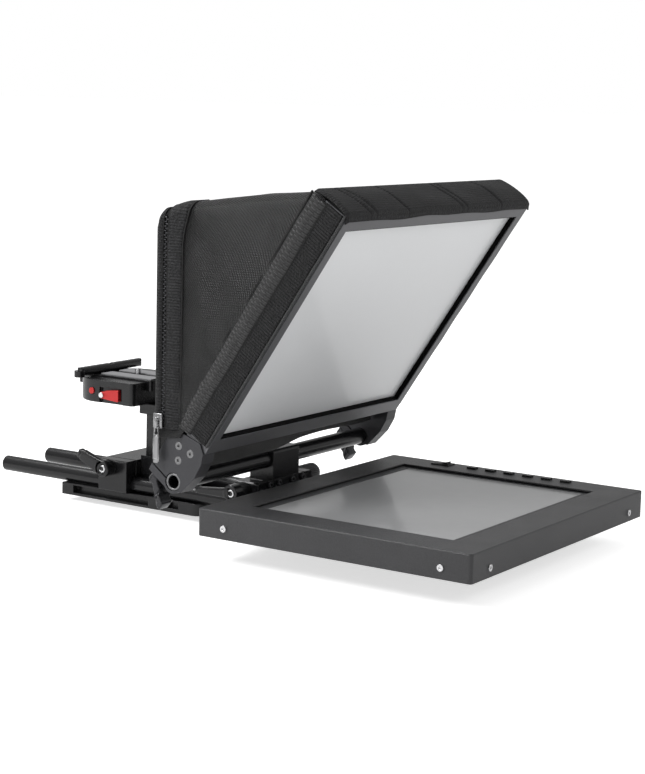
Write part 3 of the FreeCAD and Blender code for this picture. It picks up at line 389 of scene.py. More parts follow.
nodeFinish = {
    "monitor_housing": powder, "back_cover": powder, "lcd_frame": bezel, "lcd_screen": screenGlass,
    "circuit_boards": greenBoard, "switch_frame": blackPlastic, "power_rocker": blackPlastic,
    "rear_sockets": blackPlastic, "housing_screws": steel, "monitor_bracket": anodised, "rod_left": anodised,
    "rod_right": anodised, "carriage_block": anodised, "tube_clamp": anodised, "carriage_screws": steel,
    "crossbar_tube": anodised, "mirror_frame": frameMetal, "beam_splitter": splitterGlass,
    "glass_retainers": blackPlastic, "bracket_left": satinPlate, "bracket_right": satinPlate,
    "bracket_screws": greySteel, "base_plate": anodised, "rear_clamp": anodised, "base_screws": blackSteel,
    "riser_socket": anodised, "riser_post": anodised, "platform_neck": anodised, "platform_body": anodised,
    "lever_pivot": steel, "platform_lever": redAnodised, "safety_button": redAnodised, "slide_plate": anodised,
    "plate_pads": rubber, "stop_bar": anodised, "camera_screw": steel,
    "monitor_knob_left": blackPlastic, "monitor_knob_right": blackPlastic, "riser_knob": blackPlastic,
    "carriage_knob": blackPlastic, "carriage_lever": anodised, "rear_lever": anodised,
    "tilt_lever_left": blackSteel, "tilt_lever_right": blackSteel,
}
nodeFinish.update({f"button_{k}": keyPlastic for k in range(1, 7)})


def dressNodes():
    for name, material in nodeFinish.items():
        item = nodes[name]
        if not item.material_slots:
            item.data.materials.append(material)
        for held in item.material_slots:
            held.material = material


dressNodes()
print("materials ready")


def finishPiece(name, bm, material, body, replaces=(), sharp=35.0):
    bmesh.ops.recalc_face_normals(bm, faces=bm.faces)
    mesh = bpy.data.meshes.new(name)
    bm.to_mesh(mesh)
    bm.free()
    mesh.polygons.foreach_set("use_smooth", [True] * len(mesh.polygons))
    mesh.set_sharp_from_angle(angle=math.radians(sharp))
    mesh.materials.append(material)
    item = bpy.data.objects.new(name, mesh)
    bpy.context.scene.collection.objects.link(item)
    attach(item, body)
    if replaces:
        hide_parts(*replaces)
    return item


# cloth wall of the given thickness, centred on the sheet
def thicken(item, thickness):
    wall = item.modifiers.new("thickness", "SOLIDIFY")
    wall.thickness = thickness
    wall.offset = 0.0


# a grid with its own UV map, laid where place(across 0 to 1, along 0 to 1) says
def clothGrid(across, along, place):
    bm = bmesh.new()
    bm.loops.layers.uv.new("cloth")
    bmesh.ops.create_grid(bm, x_segments=across, y_segments=along, size=0.5, calc_uvs=True)
    for vert in bm.verts:
        vert.co = place(vert.co.x + 0.5, vert.co.y + 0.5)
    return bm


# a tube from clothGrid whose seam is merged and whose ends are closed
def closedCord(around, along, place):
    bm = clothGrid(around, along, place)
    bmesh.ops.remove_doubles(bm, verts=bm.verts, dist=1e-6)
    bmesh.ops.holes_fill(bm, edges=[edge for edge in bm.edges if edge.is_boundary], sides=0)
    return bm


def blockOf(bm, low, high, rounding=0.0, segments=2):
    made = bmesh.ops.create_cube(bm, size=1.0)["verts"]
    size = [b - a for a, b in zip(low, high)]
    middle = [(a + b) / 2 for a, b in zip(low, high)]
    bmesh.ops.scale(bm, verts=made, vec=size)
    bmesh.ops.translate(bm, verts=made, vec=middle)
    if rounding:
        edges = list(dict.fromkeys(edge for vert in made for edge in vert.link_edges))
        bmesh.ops.bevel(bm, geom=edges, offset=rounding, offset_type="OFFSET", affect="EDGES",
                        segments=segments, profile=0.5, material=-1, clamp_overlap=True)


# (radius, height) points spun about local Z; points inside hexRadius become a hexagon socket
def spinProfile(bm, profile, steps, hexRadius=0.0):
    line = [bm.verts.new((radius, 0, height)) for radius, height in profile]
    edges = [bm.edges.new(pair) for pair in zip(line, line[1:])]
    bmesh.ops.spin(bm, geom=line + edges, cent=(0, 0, 0), axis=(0, 0, 1), dvec=(0, 0, 0),
                   angle=math.tau, steps=steps, use_merge=True)
    bmesh.ops.remove_doubles(bm, verts=bm.verts, dist=1e-6)
    if hexRadius:
        for vert in bm.verts:
            flat = math.hypot(vert.co.x, vert.co.y)
            if 1e-5 < flat < hexRadius * 1.01:
                angle = math.atan2(vert.co.y, vert.co.x) % (math.tau / 6) - math.tau / 12
                reach = 1 / math.cos(angle)
                vert.co.x *= reach
                vert.co.y *= reach


# local +Z along the joint's axis, local +X along arm
def jointMatrix(name, arm):
    outward = Vector(joints[name]["axis"]).normalized()
    along = Vector(arm)
    along = (along - outward * along.dot(outward)).normalized()
    turn = Matrix((along, outward.cross(along), outward)).transposed().to_4x4()
    return Matrix.Translation(joints[name]["pos_m"]) @ turn


mirror = {"tilt": 56.67, "length": 0.249}
tilt = math.radians(mirror["tilt"])
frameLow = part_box("mirror_frame")[0]
cornerY = frameLow[1] + math.cos(tilt) * mirror["length"]
cornerZ = frameLow[2]


# a point up the mirror's slope and back from its front face
def onSlope(up, back, x=0.0):
    y = cornerY - math.cos(tilt) * up + math.sin(tilt) * back
    z = cornerZ + math.sin(tilt) * up + math.cos(tilt) * back
    return Vector((x, y, z))


def blendStep(value, low, high):
    share = min(max((value - low) / (high - low), 0.0), 1.0)
    return share * share * (3 - 2 * share)


# straight lines between (position, value) pairs
def fromTable(value, table):
    if value <= table[0][0]:
        return table[0][1]
    for (a, first), (b, second) in zip(table, table[1:]):
        if value <= b:
            return first + (second - first) * (value - a) / (b - a)
    return table[-1][1]


# topLine is the top edge in the side view as (Y, Z); sideEnd and cornerEnd are shares of the half girth
hood = {
    "side": 0.1580, "corner": 0.009, "rear": -0.1245, "low": 0.1045, "topLine": [
        (-0.2923, 0.3133), (-0.2860, 0.3158), (-0.2800, 0.3160), (-0.2690, 0.3149), (-0.2300, 0.3112),
        (-0.1890, 0.3058), (-0.1530, 0.3005), (-0.1380, 0.2968), (-0.1300, 0.2935), (-0.1265, 0.2905),
        (-0.1245, 0.2860)],
    "sideEnd": 0.64, "cornerEnd": 0.72, "frontStart": -0.004, "frontEnd": 0.2505, "drop": 0.007, "depth": 0.027,
    "bulge": 0.0015, "flare": 0.0016, "flareBand": (0.104, 0.112),
    "sideFolds": 0.0034, "topSag": 0.0035, "cloth": 0.0012,
}
topStart, topEnd = hood["topLine"][0][0], hood["topLine"][-1][0]


# the hood's top line in the side view, from the mirror (0) to the rear (1)
def topEdge(run):
    y = topStart + (topEnd - topStart) * run
    return y, fromTable(y, hood["topLine"])


def sidePoint(height, run):
    front = onSlope(hood["frontStart"] + (hood["frontEnd"] - hood["frontStart"]) * height, hood["depth"])
    rearTop = topEdge(1.0)
    low = hood["low"] - hood["drop"]
    rear = Vector((0, hood["rear"], low + (rearTop[1] - low) * height))
    point = front.lerp(rear, run)
    frontTop = onSlope(hood["frontEnd"], hood["depth"])
    straight = frontTop.lerp(Vector((0, *rearTop)), run)
    edge = Vector((0, *topEdge(run)))
    return point + (edge - straight) * blendStep(height, 0.25, 1.0)


# how far the side cloth stands out of its plane
def sideFold(y, z, side):
    soft = noise.noise(Vector((y * 11 + z * 4.5, z * 5 - y * 2, side * 3.7)))
    crease = noise.noise(Vector((y * 34 - z * 13, z * 9 + y * 4, side * 5.1 + 2.0)))
    fine = noise.noise(Vector((y * 90, z * 60, side * 1.3)))
    return hood["sideFolds"] * (soft + 0.45 * crease + 0.12 * fine)


# the hood as one sheet: left side, rounded edge, top, rounded edge, right side
def shellPoint(girth, run):
    half = 1.0 if girth > 0.5 else -1.0
    share = 1 - abs(girth - 0.5) * 2
    side, corner = hood["side"], hood["corner"]
    sideEnd, cornerEnd = hood["sideEnd"], hood["cornerEnd"]
    held = min(run / 0.12, 1.0) * min((1 - run) / 0.05, 1.0)
    if share < sideEnd:
        height = share / sideEnd
        point = sidePoint(height, run)
        point.z -= corner * height ** 6
        ends = min(height / 0.06, 1.0) * min((1 - height) / 0.03 + 0.3, 1.0)
        out = sideFold(point.y, point.z, half) * held * ends
        out += hood["bulge"] * math.sin(math.pi * run) * math.sin(math.pi * height)
        out += hood["flare"] * (1 - blendStep(point.z, *hood["flareBand"]))
        point.x = half * (side + out)
        return point
    y, z = topEdge(run)
    if share < cornerEnd:
        angle = (share - sideEnd) / (cornerEnd - sideEnd) * math.pi / 2
        x = half * (side - corner + corner * math.cos(angle))
        return Vector((x, y, z - corner + corner * math.sin(angle)))
    across = (1 - share) / (1 - cornerEnd)
    x = half * (side - corner) * across
    ripple = 0.0011 * noise.noise(Vector((x * 16, y * 26, 8.0)))
    ripple += 0.0006 * noise.noise(Vector((x * 60, y * 45, 3.0)))
    sag = hood["topSag"] * (1 - across ** 2) * math.sin(math.pi * min(run * 1.05, 1.0))
    return Vector((x, y, z - sag + ripple * held))


hoodNylon = clothFinish("hoodNylon", "hood_fabric", 0.24, (450, 108), 0.40, 0.0005, contrast=0.8,
                        Sheen_Weight=0.06, Sheen_Roughness=0.35, Specular_IOR_Level=0.3)
panelNylon = clothFinish("rearPanelNylon", "hood_fabric", 0.30, (450, 65), 0.48, 0.0005, contrast=0.8,
                         Sheen_Weight=0.1, Sheen_Roughness=0.35)
hookTape = clothFinish("hookAndLoopTape", "hook_tape", 0.26, (7, 96), 0.65, 0.0020, pileGroup, 3.8,
                       Sheen_Weight=0.02, Specular_IOR_Level=0.25)
zipPile = clothFinish("zipPileTape", "zip_tape", 0.38, (5, 84), 0.65, 0.0018, pileGroup, 3.8,
                      Sheen_Weight=0.02, Specular_IOR_Level=0.25)
ribTape = clothFinish("ribbedBinding", "hood_fabric", 0.42, (3, 120), 0.5, 0.0008, contrast=1.2,
                      Sheen_Weight=0.1, Sheen_Roughness=0.4)
bindingCloth = clothFinish("bindingCloth", "hood_fabric", 1.0, (8, 160), 0.5, 0.0004, contrast=0.8,
                           Sheen_Weight=0.12)
# near-black thread for seams; beside the ribbed binding it also paints the shade of the grooves
seamAndShadeThread = clothFinish("seamAndShadeThread", "hood_fabric", 0.08, (4, 200), 0.9, 0.0002, contrast=0.9)
hookTapeWide = clothFinish("flapTape", "hook_tape", 0.30, (120, 16), 0.55, 0.0008, pileGroup, 1.5,
                           Specular_IOR_Level=0.25)


def makeShell():
    bm = clothGrid(250, 84, shellPoint)
    inside = [vert for vert in bm.verts if not vert.is_boundary]
    bmesh.ops.smooth_vert(bm, verts=inside, factor=0.4, use_axis_x=True, use_axis_y=True, use_axis_z=True)
    shell = finishPiece("hoodShell", bm, hoodNylon, "mirror",
                        ("hood_side_left", "hood_side_right", "hood_top"), sharp=70)
    thicken(shell, hood["cloth"])


rear = {"corner": 0.012, "swell": 0.0012, "lumps": 0.0014,
        "gathers": 26, "gatherDepth": 0.0012, "sleeveCloth": 0.0012,
        "floorWidth": 0.280, "floorDepth": 0.028, "floorFront": -0.1535}


def makeRear():
    sleeveLow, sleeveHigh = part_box("lens_sleeve")
    middle = Vector((0, 0, (sleeveLow[2] + sleeveHigh[2]) / 2))
    outer = (sleeveHigh[0] - sleeveLow[0]) / 2
    inner = outer - 0.0025
    top, low, side, corner = topEdge(1.0)[1] + 0.003, hood["low"] + 0.001, hood["side"] - 0.0005, rear["corner"]

    def rearPoint(turn, reach):
        angle = turn * math.tau
        way = Vector((math.cos(angle), 0, math.sin(angle)))
        ring = middle + way * inner
        limits = []
        if abs(way.x) > 1e-6:
            limits.append(side / abs(way.x))
        if abs(way.z) > 1e-6:
            limits.append(((top if way.z > 0 else low) - middle.z) / way.z)
        edge = middle + way * min(limits)
        over = Vector((abs(edge.x) - (side - corner), 0, edge.z - (top - corner)))
        if over.x > 0 and over.z > 0 and way.z > 0:
            pull = over.length - corner
            if pull > 0:
                edge -= Vector((math.copysign(over.x, way.x), 0, over.z)).normalized() * pull
        point = ring.lerp(edge, reach)
        slack = math.sin(math.pi * reach)
        swell = rear["swell"] * slack
        swell += rear["lumps"] * slack * noise.noise(Vector((point.x * 14, point.z * 12, 4.0)))
        return Vector((point.x, hood["rear"] + 0.0008 + swell, point.z))

    bm = clothGrid(200, 40, rearPoint)
    bmesh.ops.remove_doubles(bm, verts=bm.verts, dist=1e-5)
    panel = finishPiece("hoodRear", bm, panelNylon, "mirror", sharp=70)
    thicken(panel, hood["cloth"])

    def sleevePoint(turn, reach):
        angle = turn * math.tau
        gather = rear["gatherDepth"] * math.sin(angle * rear["gathers"])
        gather *= math.sin(math.pi * min(reach * 1.1, 1.0))
        radius = inner + 0.0014 - 0.0012 * math.sin(math.pi * reach) + gather
        y = hood["rear"] + 0.0015 + (sleeveHigh[1] - hood["rear"] - 0.0022) * reach
        return middle + Vector((math.cos(angle) * radius, y, math.sin(angle) * radius))

    bm = clothGrid(312, 16, sleevePoint)
    bmesh.ops.remove_doubles(bm, verts=bm.verts, dist=1e-5)
    sleeve = finishPiece("lensSleeve", bm, panelNylon, "mirror", ("lens_sleeve",), sharp=70)
    thicken(sleeve, rear["sleeveCloth"])
    bm = bmesh.new()
    edge = [(inner + out, height) for out, height in (
        (0.0004, 0.0), (0.0024, 0.0005), (0.0027, 0.003), (0.0024, 0.0055), (0.0004, 0.006))]
    spinProfile(bm, edge + [edge[0]], 96)
    bmesh.ops.rotate(bm, verts=bm.verts, matrix=Matrix.Rotation(math.radians(-90), 3, "X"))
    bmesh.ops.translate(bm, verts=bm.verts, vec=(middle.x, sleeveHigh[1] - 0.0063, middle.z))
    finishPiece("lensSleeveHem", bm, bindingCloth, "mirror")

    def floorPoint(across, along):
        x = (across - 0.5) * rear["floorWidth"]
        y = rear["floorFront"] + rear["floorDepth"] * along
        return Vector((x, y, low + 0.0006 + 0.0008 * noise.noise(Vector((x * 18, y * 30, 1.0)))))

    floor = finishPiece("hoodFloor", clothGrid(90, 10, floorPoint), panelNylon, "mirror",
                        ("hood_rear",), sharp=70)
    thicken(floor, hood["cloth"])


# distances back from the mirror's front face, then up its slope
band = {
    "start": 0.0035, "end": 0.0215, "rib": (0.0212, 0.0372), "low": 0.0065, "high": 0.2485, "proud": 0.0022,
    "tapeSide": 0.1577, "tapeCloth": 0.0016, "ribSide": 0.1578, "ribCloth": 0.0012,
    # the two near-black cords beside the ribbed binding stand for its seams and for painted shade in the grooves
    # on both sides
    # distance back, radius, side and cloth of each cord
    "cords": {"piping": (0.0017, 0.0011, 0.1583, bindingCloth), "seamShadeCord": (0.0388, 0.0010, 0.1580, seamAndShadeThread),
              "grooveShadeCord": (0.0213, 0.0011, 0.1580, seamAndShadeThread)},
}


def makeBands():
    for label, side in (("Left", -1), ("Right", 1)):

        def tapePoint(across, along):
            back = band["start"] + (band["end"] - band["start"]) * across
            up = band["low"] + (band["high"] - band["low"]) * along
            swell = 0.0004 * noise.noise(Vector((up * 45, back * 60, side * 2.0)))
            lump = 0.0006 * math.sin(math.pi * across)
            return onSlope(up, back, side * (band["tapeSide"] + lump + swell))

        tape = finishPiece("hookBand" + label, clothGrid(14, 180, tapePoint), hookTape, "mirror",
                           sharp=70)
        thicken(tape, band["tapeCloth"])

        def ribPoint(across, along):
            back = band["rib"][0] + (band["rib"][1] - band["rib"][0]) * across
            up = band["low"] - 0.002 + (band["high"] + 0.001 - band["low"]) * along
            back += 0.0006 * noise.noise(Vector((up * 30, 0, side * 4.0)))
            crown = math.sin(math.pi * across) ** 0.6 * band["proud"]
            crown *= 1 + 0.25 * noise.noise(Vector((up * 70, across * 2, side * 6.0)))
            return onSlope(up, back, side * (band["ribSide"] + crown))

        rib = finishPiece("hoodBinding" + label, clothGrid(12, 260, ribPoint), ribTape, "mirror",
                          sharp=70)
        thicken(rib, band["ribCloth"])
        for part, (back, radius, reach, cloth) in band["cords"].items():

            def cordPoint(around, along):
                angle = around * math.tau
                up = band["low"] + (band["high"] - band["low"]) * along
                wave = 0.0003 * noise.noise(Vector((up * 40, 1.0, side * 2.0)))
                out = side * (reach + radius * math.sin(angle))
                return onSlope(up, back + wave + radius * math.cos(angle), out)

            finishPiece(part + label, closedCord(10, 120, cordPoint), cloth, "mirror")


# pleats are the X of each; lengths run back from the mirror's front face and up its slope
flap = {
    "pleats": (-0.127, -0.118, -0.066, 0.024, 0.033, 0.096), "pleatDepth": 0.0019, "pleatWidth": 0.0016,
    "lean": 0.012, "half": 0.1575, "back": 0.0372, "length": 0.0392, "up": 0.2508, "crown": 0.0018,
    "puff": 0.0015, "lumps": 0.0016, "wave": 0.0022, "drop": 0.0045, "cloth": 0.0013,
}


def makeFlap():
    def flapPoint(across, along):
        x = (across - 0.5) * 2 * flap["half"]
        back = flap["back"] - flap["length"] * along
        up = flap["up"] + flap["crown"] * math.sin(math.pi * along)
        puff = flap["puff"]
        for spot in flap["pleats"]:
            gap = (x - spot - flap["lean"] * (along - 0.5)) / flap["pleatWidth"]
            puff -= flap["pleatDepth"] * math.exp(-gap * gap)
        up += puff * math.sin(math.pi * min(max(along, 0.0), 1.0)) ** 0.5
        up += flap["lumps"] * noise.noise(Vector((x * 24, along * 1.5, 6.0))) * math.sin(math.pi * along)
        lip = blendStep(along, 0.90, 1.0)
        wavy = flap["wave"] * noise.noise(Vector((x * 19, 2.0, 7.0)))
        up -= lip * (flap["drop"] + wavy)
        back += lip * 0.0006
        ends = blendStep(abs(x), flap["half"] - 0.004, flap["half"])
        return onSlope(up - ends * 0.002, back, x)

    bm = clothGrid(300, 26, flapPoint)
    front = finishPiece("hoodFlap", bm, hookTapeWide, "mirror", ("hook_bands", "hood_flap"),
                        sharp=70)
    thicken(front, flap["cloth"])


# Y of the tooth line and of the two tapes' far edges
zipLine = {"y": -0.1335, "pile": 0.0012, "front": -0.1515, "rear": -0.1262, "teeth": 96, "gap": 0.0022,
           "seam": 0.0026, "lean": 0.010, "onTop": 0.016, "cloth": 0.0010}


def makeZip():
    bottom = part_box("zipper")[0][2]
    side = -(hood["side"] + 0.0008)
    rise = topEdge(0.9)[1] - bottom - hood["corner"]
    total = rise + hood["corner"] * 1.57 + zipLine["onTop"]

    # up the left side, over the rounded edge and onto the top
    def climb(distance, y, lift):
        y -= zipLine["lean"] * blendStep(distance, rise * 0.86, total) * (zipLine["rear"] - y) / 0.025
        z = fromTable(y, hood["topLine"])
        corner = hood["corner"]
        straight = z - corner - bottom
        if distance < straight:
            return Vector((side - lift, y, bottom + distance))
        angle = (distance - straight) / corner
        if angle < math.pi / 2:
            return Vector((side + corner - (corner + lift) * math.cos(angle), y,
                           z - corner + (corner + lift) * math.sin(angle)))
        return Vector((side + corner + (angle - math.pi / 2) * corner, y, z + lift))

    for label, edges in (("Front", (zipLine["y"] - zipLine["gap"], zipLine["front"])),
                         ("Rear", (zipLine["rear"], zipLine["y"] + zipLine["gap"]))):

        def pilePoint(across, along):
            y = edges[0] + (edges[1] - edges[0]) * across
            lump = zipLine["pile"] * math.sin(math.pi * across) ** 0.5
            lump *= 1 + 0.3 * noise.noise(Vector((y * 60, along * 30, 1.0)))
            return climb(total * along, y, lump + 0.0004)

        strip = finishPiece("zipTape" + label, clothGrid(12, 170, pilePoint), zipPile, "mirror",
                            sharp=70)
        thicken(strip, zipLine["cloth"])
    seams = (zipLine["front"] - 0.0007, zipLine["y"] - zipLine["seam"], zipLine["y"] + zipLine["seam"])
    for number, y in enumerate(seams):

        def seamPoint(around, along):
            angle = around * math.tau
            return climb(total * along, y + 0.0008 * math.cos(angle), 0.0009 + 0.0007 * math.sin(angle))

        finishPiece(f"zipSeam{number}", closedCord(8, 150, seamPoint), seamAndShadeThread, "mirror")
    bm = bmesh.new()
    pitch = rise / zipLine["teeth"]
    for index in range(zipLine["teeth"]):
        shift = 0.0007 if index % 2 else -0.0007
        spot = climb(pitch * (index + 0.5), zipLine["y"] + shift, 0.0006)
        blockOf(bm, spot - Vector((0.0005, 0.0013, 0.00055)), spot + Vector((0.0006, 0.0013, 0.00055)))
    finishPiece("zipTeeth", bm, blackSteel, "mirror", ("zipper",))


# body: how far its corners lie inside the slider's box, rounding and segments; then cheeks and bridge
slider = {
    "body": (((0.0027, 0.0003), (0.0044, -0.0003, -0.001)), 0.0007, 3),
    "cheeks": (0.0006, -0.0018), "bridgeFeet": (0.0006, 0.0080), "bridgeHalf": 0.0014,
}
# outline: distance down from the tab's head and half width
pullTab = {
    "thick": 0.0006,
    "outline": [(0.0000, 0.0016), (0.0030, 0.0019), (0.0090, 0.0023), (0.0230, 0.0028), (0.0275, 0.0027),
                (0.0290, 0.0018)],
}


def makeZipPull():
    low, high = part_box("zip_slider")
    middle, half = (low[1] + high[1]) / 2, slider["bridgeHalf"]
    bm = bmesh.new()
    (near, far), rounding, segments = slider["body"]
    blockOf(bm, (low[0] + near[0], low[1] + near[1], low[2]),
            (low[0] + far[0], high[1] + far[1], high[2] + far[2]), rounding, segments)
    for edge in (low[1] + slider["cheeks"][0], high[1] + slider["cheeks"][1]):
        blockOf(bm, (low[0] + 0.0032, edge, low[2] + 0.002), (high[0], edge + 0.0012, high[2] - 0.002), 0.0004, 2)
    for foot in slider["bridgeFeet"]:
        z = low[2] + foot
        blockOf(bm, (low[0] + 0.0002, middle - half, z), (low[0] + 0.0032, middle + half, z + 0.0018), 0.0006, 2)
    blockOf(bm, (low[0] + 0.0001, middle - half, low[2] + 0.0006),
            (low[0] + 0.0010, middle + half, low[2] + 0.0098), 0.0004, 2)
    finishPiece("zipSliderBody", bm, nickel, "zip_slider", ("zip_slider",))

    low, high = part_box("zip_pull")
    middle, centre, thick = (low[1] + high[1]) / 2, (low[0] + high[0]) / 2, pullTab["thick"]
    bm = bmesh.new()
    for sign in (-1, 1):
        for (a, wide), (b, wideAfter) in zip(pullTab["outline"], pullTab["outline"][1:]):
            blockOf(bm, (centre - thick, middle + sign * wide - 0.0008, high[2] - b - 0.0040),
                    (centre + thick, middle + sign * wideAfter + 0.0004, high[2] - a - 0.0038), 0.0003, 2)
    # the foot, the cross bar, the eye and the thin web
    for halfX, halfY, bottom, top, rounding in (
            (thick, 0.0026, low[2], low[2] + 0.0030, 0.0005),
            (thick, 0.0025, high[2] - 0.0125, high[2] - 0.0095, 0.0004),
            (0.0007, 0.0027, high[2] - 0.0042, high[2] - 0.0028, 0.0004),
            (0.0003, 0.0020, low[2] + 0.002, high[2] - 0.011, 0.0)):
        blockOf(bm, (centre - halfX, middle - halfY, bottom), (centre + min(halfX, thick), middle + halfY, top),
                rounding, 2)
    finishPiece("zipPullTab", bm, nickel, "zip_pull", ("zip_pull",))


gasket = {"side": 0.1464, "low": 0.0141, "high": 0.2359, "front": 0.0010, "back": 0.0051, "wall": 0.0012}


def makeGasket():
    # black strips round the glass, inside the frame's window
    side, low, high, front, back, wall = gasket.values()
    bm = bmesh.new()
    for corners in (((-side, low, front), (side, low + wall, back)),
                    ((-side, high - wall, front), (side, high, back)),
                    ((-side, low + wall, front), (-side + wall, high - wall, back)),
                    ((side - wall, low + wall, front), (side, high - wall, back))):
        blockOf(bm, *corners)
    for vert in bm.verts:
        vert.co = onSlope(vert.co.y, vert.co.z, vert.co.x)
    finishPiece("glassGasket", bm, gasketRubber, "mirror")


hemCloth = {"width": 0.278, "drop": 0.0215, "longer": 0.0070, "wave": 0.0014, "y": -0.1562, "z": 0.1000,
            "cloth": 0.0011}


def makeHem():
    # cloth hem hanging from the frame's lower rear edge, longer towards the left
    def hemPoint(across, along):
        x = (across - 0.5) * hemCloth["width"]
        soft = noise.noise(Vector((x * 22, along * 1.5, 11.0)))
        drop = hemCloth["drop"] + hemCloth["longer"] * (1 - blendStep(x, -0.030, 0.020))
        drop += hemCloth["wave"] * noise.noise(Vector((x * 30, 0.5, 13.0)))
        return Vector((x, hemCloth["y"] - 0.0015 * along + 0.0012 * soft * along, hemCloth["z"] - drop * along))

    hem = finishPiece("hoodHem", clothGrid(120, 10, hemPoint), panelNylon, "mirror", sharp=70)
    thicken(hem, hemCloth["cloth"])


# profile of the bright ring at each end of the crossbar, as (radius, distance out)
ringProfile = [(0.0056, -0.0010), (0.0056, 0.0002), (0.0060, 0.0006), (0.0073, 0.0006), (0.0078, 0.0001),
               (0.0078, -0.0010), (0.0056, -0.0010)]


def makeTubeRings():
    tubeLow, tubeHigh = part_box("crossbar_tube")
    middle = [(a + b) / 2 for a, b in zip(tubeLow, tubeHigh)]
    for label, side in (("Left", -1), ("Right", 1)):
        bm = bmesh.new()
        spinProfile(bm, ringProfile, 64)
        bmesh.ops.rotate(bm, verts=bm.verts, matrix=Matrix.Rotation(math.radians(90 * side), 3, "Y"))
        bmesh.ops.translate(bm, verts=bm.verts, vec=(side * (tubeHigh[0] + 0.0002), middle[1], middle[2]))
        finishPiece("tubeRing" + label, bm, greySteel, "carriage")


makeShell()
makeRear()
makeBands()
makeFlap()
makeGasket()
makeHem()
makeTubeRings()
makeZip()
makeZipPull()
print("hood ready")


# a bar along local +X; widths pairs a share of the reach with a half width
def taperedArm(bm, start, reach, rise, widths, thickness, curve):
    arm = bmesh.new()
    bmesh.ops.create_cube(arm, size=1.0)
    lengthwise = [edge for edge in arm.edges if abs(edge.verts[0].co.x - edge.verts[1].co.x) > 0.5]
    bmesh.ops.subdivide_edges(arm, edges=lengthwise, cuts=16, use_grid_fill=True)
    for vert in arm.verts:
        share = vert.co.x + 0.5
        middle = rise[0] + (rise[1] - rise[0]) * share + curve * math.sin(math.pi * share)
        vert.co = Vector((start + reach * share, vert.co.y * 2 * fromTable(share, widths),
                          middle + vert.co.z * thickness))
    ridges = [edge for edge in arm.edges if edge.calc_face_angle(0) > 0.9]
    bmesh.ops.bevel(arm, geom=ridges, offset=min(thickness * 0.22, 0.0012), offset_type="OFFSET",
                    affect="EDGES", segments=3, profile=0.5, material=-1, clamp_overlap=True)
    spare = bpy.data.meshes.new("arm")
    arm.to_mesh(spare)
    arm.free()
    bm.from_mesh(spare)
    bpy.data.meshes.remove(spare)


# pulls every second spoke of a spun piece inwards between two heights
def fluted(bm, radius, low, high, steps, depth):
    for vert in bm.verts:
        flat = math.hypot(vert.co.x, vert.co.y)
        if low < vert.co.z < high and flat > radius * 0.97:
            index = round(math.atan2(vert.co.y, vert.co.x) / (math.tau / steps))
            if index % 2 == 0:
                vert.co.x *= depth
                vert.co.y *= depth


# hub radius and length, then the arm: reach, height at each end, half widths along it; stud radius and length
leverShapes = {
    "carriage_lever": {"arm": (0, 1, -0.05), "hub": 0.0080, "length": 0.0220,
                       "reach": 0.040, "rise": (0.0190, 0.0187), "thick": 0.0060,
                       "widths": [(0, 0.0046), (0.3, 0.0040), (0.6, 0.0034), (0.93, 0.0030), (1, 0.0022)],
                       "knurl": (0.001, 0.012), "material": anodised, "slot": "black_anodised", "curve": 0.0,
                       "stud": (0.003, 0.024), "steps": 60},
    "rear_lever": {"arm": (0, 26, 11), "hub": 0.0080, "length": 0.0130,
                   "reach": 0.032, "rise": (0.0100, 0.0100), "thick": 0.0060,
                   "widths": [(0, 0.0074), (0.4, 0.0062), (0.9, 0.0052), (1, 0.0040)],
                   "knurl": (0.001, 0.006), "material": anodised, "slot": "black_anodised", "curve": 0.0,
                   "stud": (0.003, 0.024), "steps": 60},
    "tilt_lever_left": {"arm": (0, -0.795, -0.607), "hub": 0.0055,
                        "length": 0.0100, "reach": 0.0225, "rise": (0.0060, 0.0190), "thick": 0.0080,
                        "widths": [(0, 0.0050), (0.5, 0.0050), (0.68, 0.0072), (0.97, 0.0072), (1, 0.0064)],
                        "knurl": (0.001, 0.004), "material": blackSteel, "slot": "black_steel", "curve": 0.001,
                        "stud": (0.0025, 0.022), "steps": 60},
}
leverShapes["tilt_lever_right"] = leverShapes["tilt_lever_left"]


def addStud(bm, radius, deep, inside):
    tip = radius - 0.0006
    spinProfile(bm, [(0, inside), (radius, inside), (radius, 0.0006 - deep), (tip, -deep), (0, -deep)], 32)


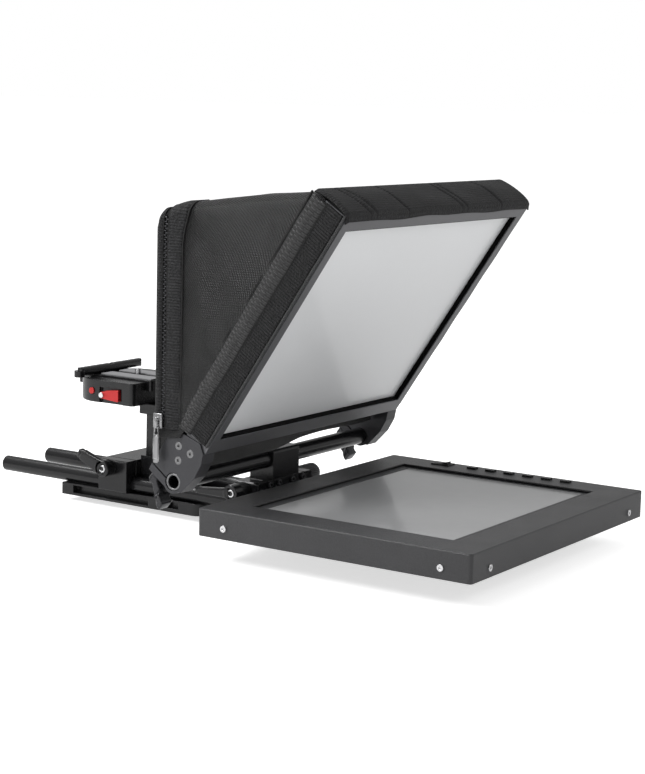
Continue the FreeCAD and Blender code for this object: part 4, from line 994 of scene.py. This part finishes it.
def makeLevers():
    for name, shape in leverShapes.items():
        hub, length = shape["hub"], shape["length"]
        bm = bmesh.new()
        steps = shape["steps"]
        edge, recess, well = 0.0007, hub * 0.66, 0.0016
        low, high = shape["knurl"]
        profile = [(0, 0.0002), (hub - edge, 0.0002), (hub, edge + 0.0002), (hub, low + 0.0002),
                   (hub * 0.985, low + 0.0004), (hub * 0.985, high - 0.0004), (hub, high - 0.0002),
                   (hub, length - edge), (hub - edge, length), (recess, length), (recess, length - well),
                   (0, length - well)]
        spinProfile(bm, profile, steps)
        fluted(bm, hub * 0.985, low + 0.0003, high - 0.0003, steps, 0.94)
        taperedArm(bm, hub * 0.2, shape["reach"] - hub * 0.2, shape["rise"], shape["widths"], shape["thick"],
                   shape["curve"])
        addStud(bm, *shape["stud"], 0.001)
        matrix = jointMatrix(name + "_turn", shape["arm"])
        bmesh.ops.transform(bm, matrix=matrix, verts=bm.verts)
        finishPiece(name.replace("_", "") + "Body", bm, shape["material"], name, (name,), sharp=40)
        bm = bmesh.new()
        head = recess * 0.72
        spinProfile(bm, [(0, length - 0.0030), (head * 0.56, length - 0.0030), (head * 0.56, length - 0.0006),
                         (head * 0.86, length - 0.0006), (head, length - 0.0010), (head, length - well - 0.0004),
                         (0, length - well - 0.0004)], 36, hexRadius=head * 0.56)
        bmesh.ops.transform(bm, matrix=matrix, verts=bm.verts)
        finishPiece(name.replace("_", "") + "Screw", bm, steel, name)


# radius and length of the knob, radius and length of its stud
knobSizes = {
    "monitor_knob_left": (0.008, 0.009, 0.0025, 0.006), "monitor_knob_right": (0.008, 0.009, 0.0025, 0.006),
    "riser_knob": (0.008, 0.014, 0.0025, 0.0055), "carriage_knob": (0.009, 0.027, 0.003, 0.024),
}


def makeKnobs():
    for name, (radius, length, stud, deep) in knobSizes.items():
        bm = bmesh.new()
        neck = radius * 0.72
        profile = [(0, 0.0), (neck, 0.0), (neck, 0.0016), (radius - 0.0006, 0.0018), (radius, 0.0026),
                   (radius, length * 0.45), (radius, length - 0.0030), (radius - 0.0012, length - 0.0010),
                   (radius - 0.0030, length), (radius * 0.35, length), (radius * 0.30, length - 0.0006),
                   (0, length - 0.0006)]
        spinProfile(bm, profile, 64)
        fluted(bm, radius, 0.0022, length - 0.0026, 64, 0.93)
        addStud(bm, stud, deep, 0.0005)
        bmesh.ops.transform(bm, matrix=jointMatrix(name + "_turn", (0, 1, 0)), verts=bm.verts)
        finishPiece(name.replace("_", "") + "Body", bm, blackPlastic, name, (name,), sharp=30)


capScrews = {
    "spots": ((-0.0265, 0.0385), (-0.0114, 0.0386), (0.0099, 0.0386), (0.0266, 0.0386)),
    "profile": [(0, 0.0007), (0.0015, 0.0007), (0.0015, 0.0021), (0.0027, 0.0021), (0.0032, 0.0016),
                (0.0033, -0.0004), (0, -0.0004)],
}


def makeCapScrews():
    # black socket screws along the carriage's front edge
    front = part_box("carriage_block")[0][1]
    bm = bmesh.new()
    for x, z in capScrews["spots"]:
        made = set(bm.verts)
        spinProfile(bm, capScrews["profile"], 36)
        fresh = [vert for vert in bm.verts if vert not in made]
        bmesh.ops.rotate(bm, verts=fresh, matrix=Matrix.Rotation(math.radians(90), 3, "X"))
        bmesh.ops.translate(bm, verts=fresh, vec=(x, front, z))
    finishPiece("carriageCapScrews", bm, blackSteel, "carriage", sharp=40)


makeLevers()
makeKnobs()
makeCapScrews()
print("levers and knobs ready")
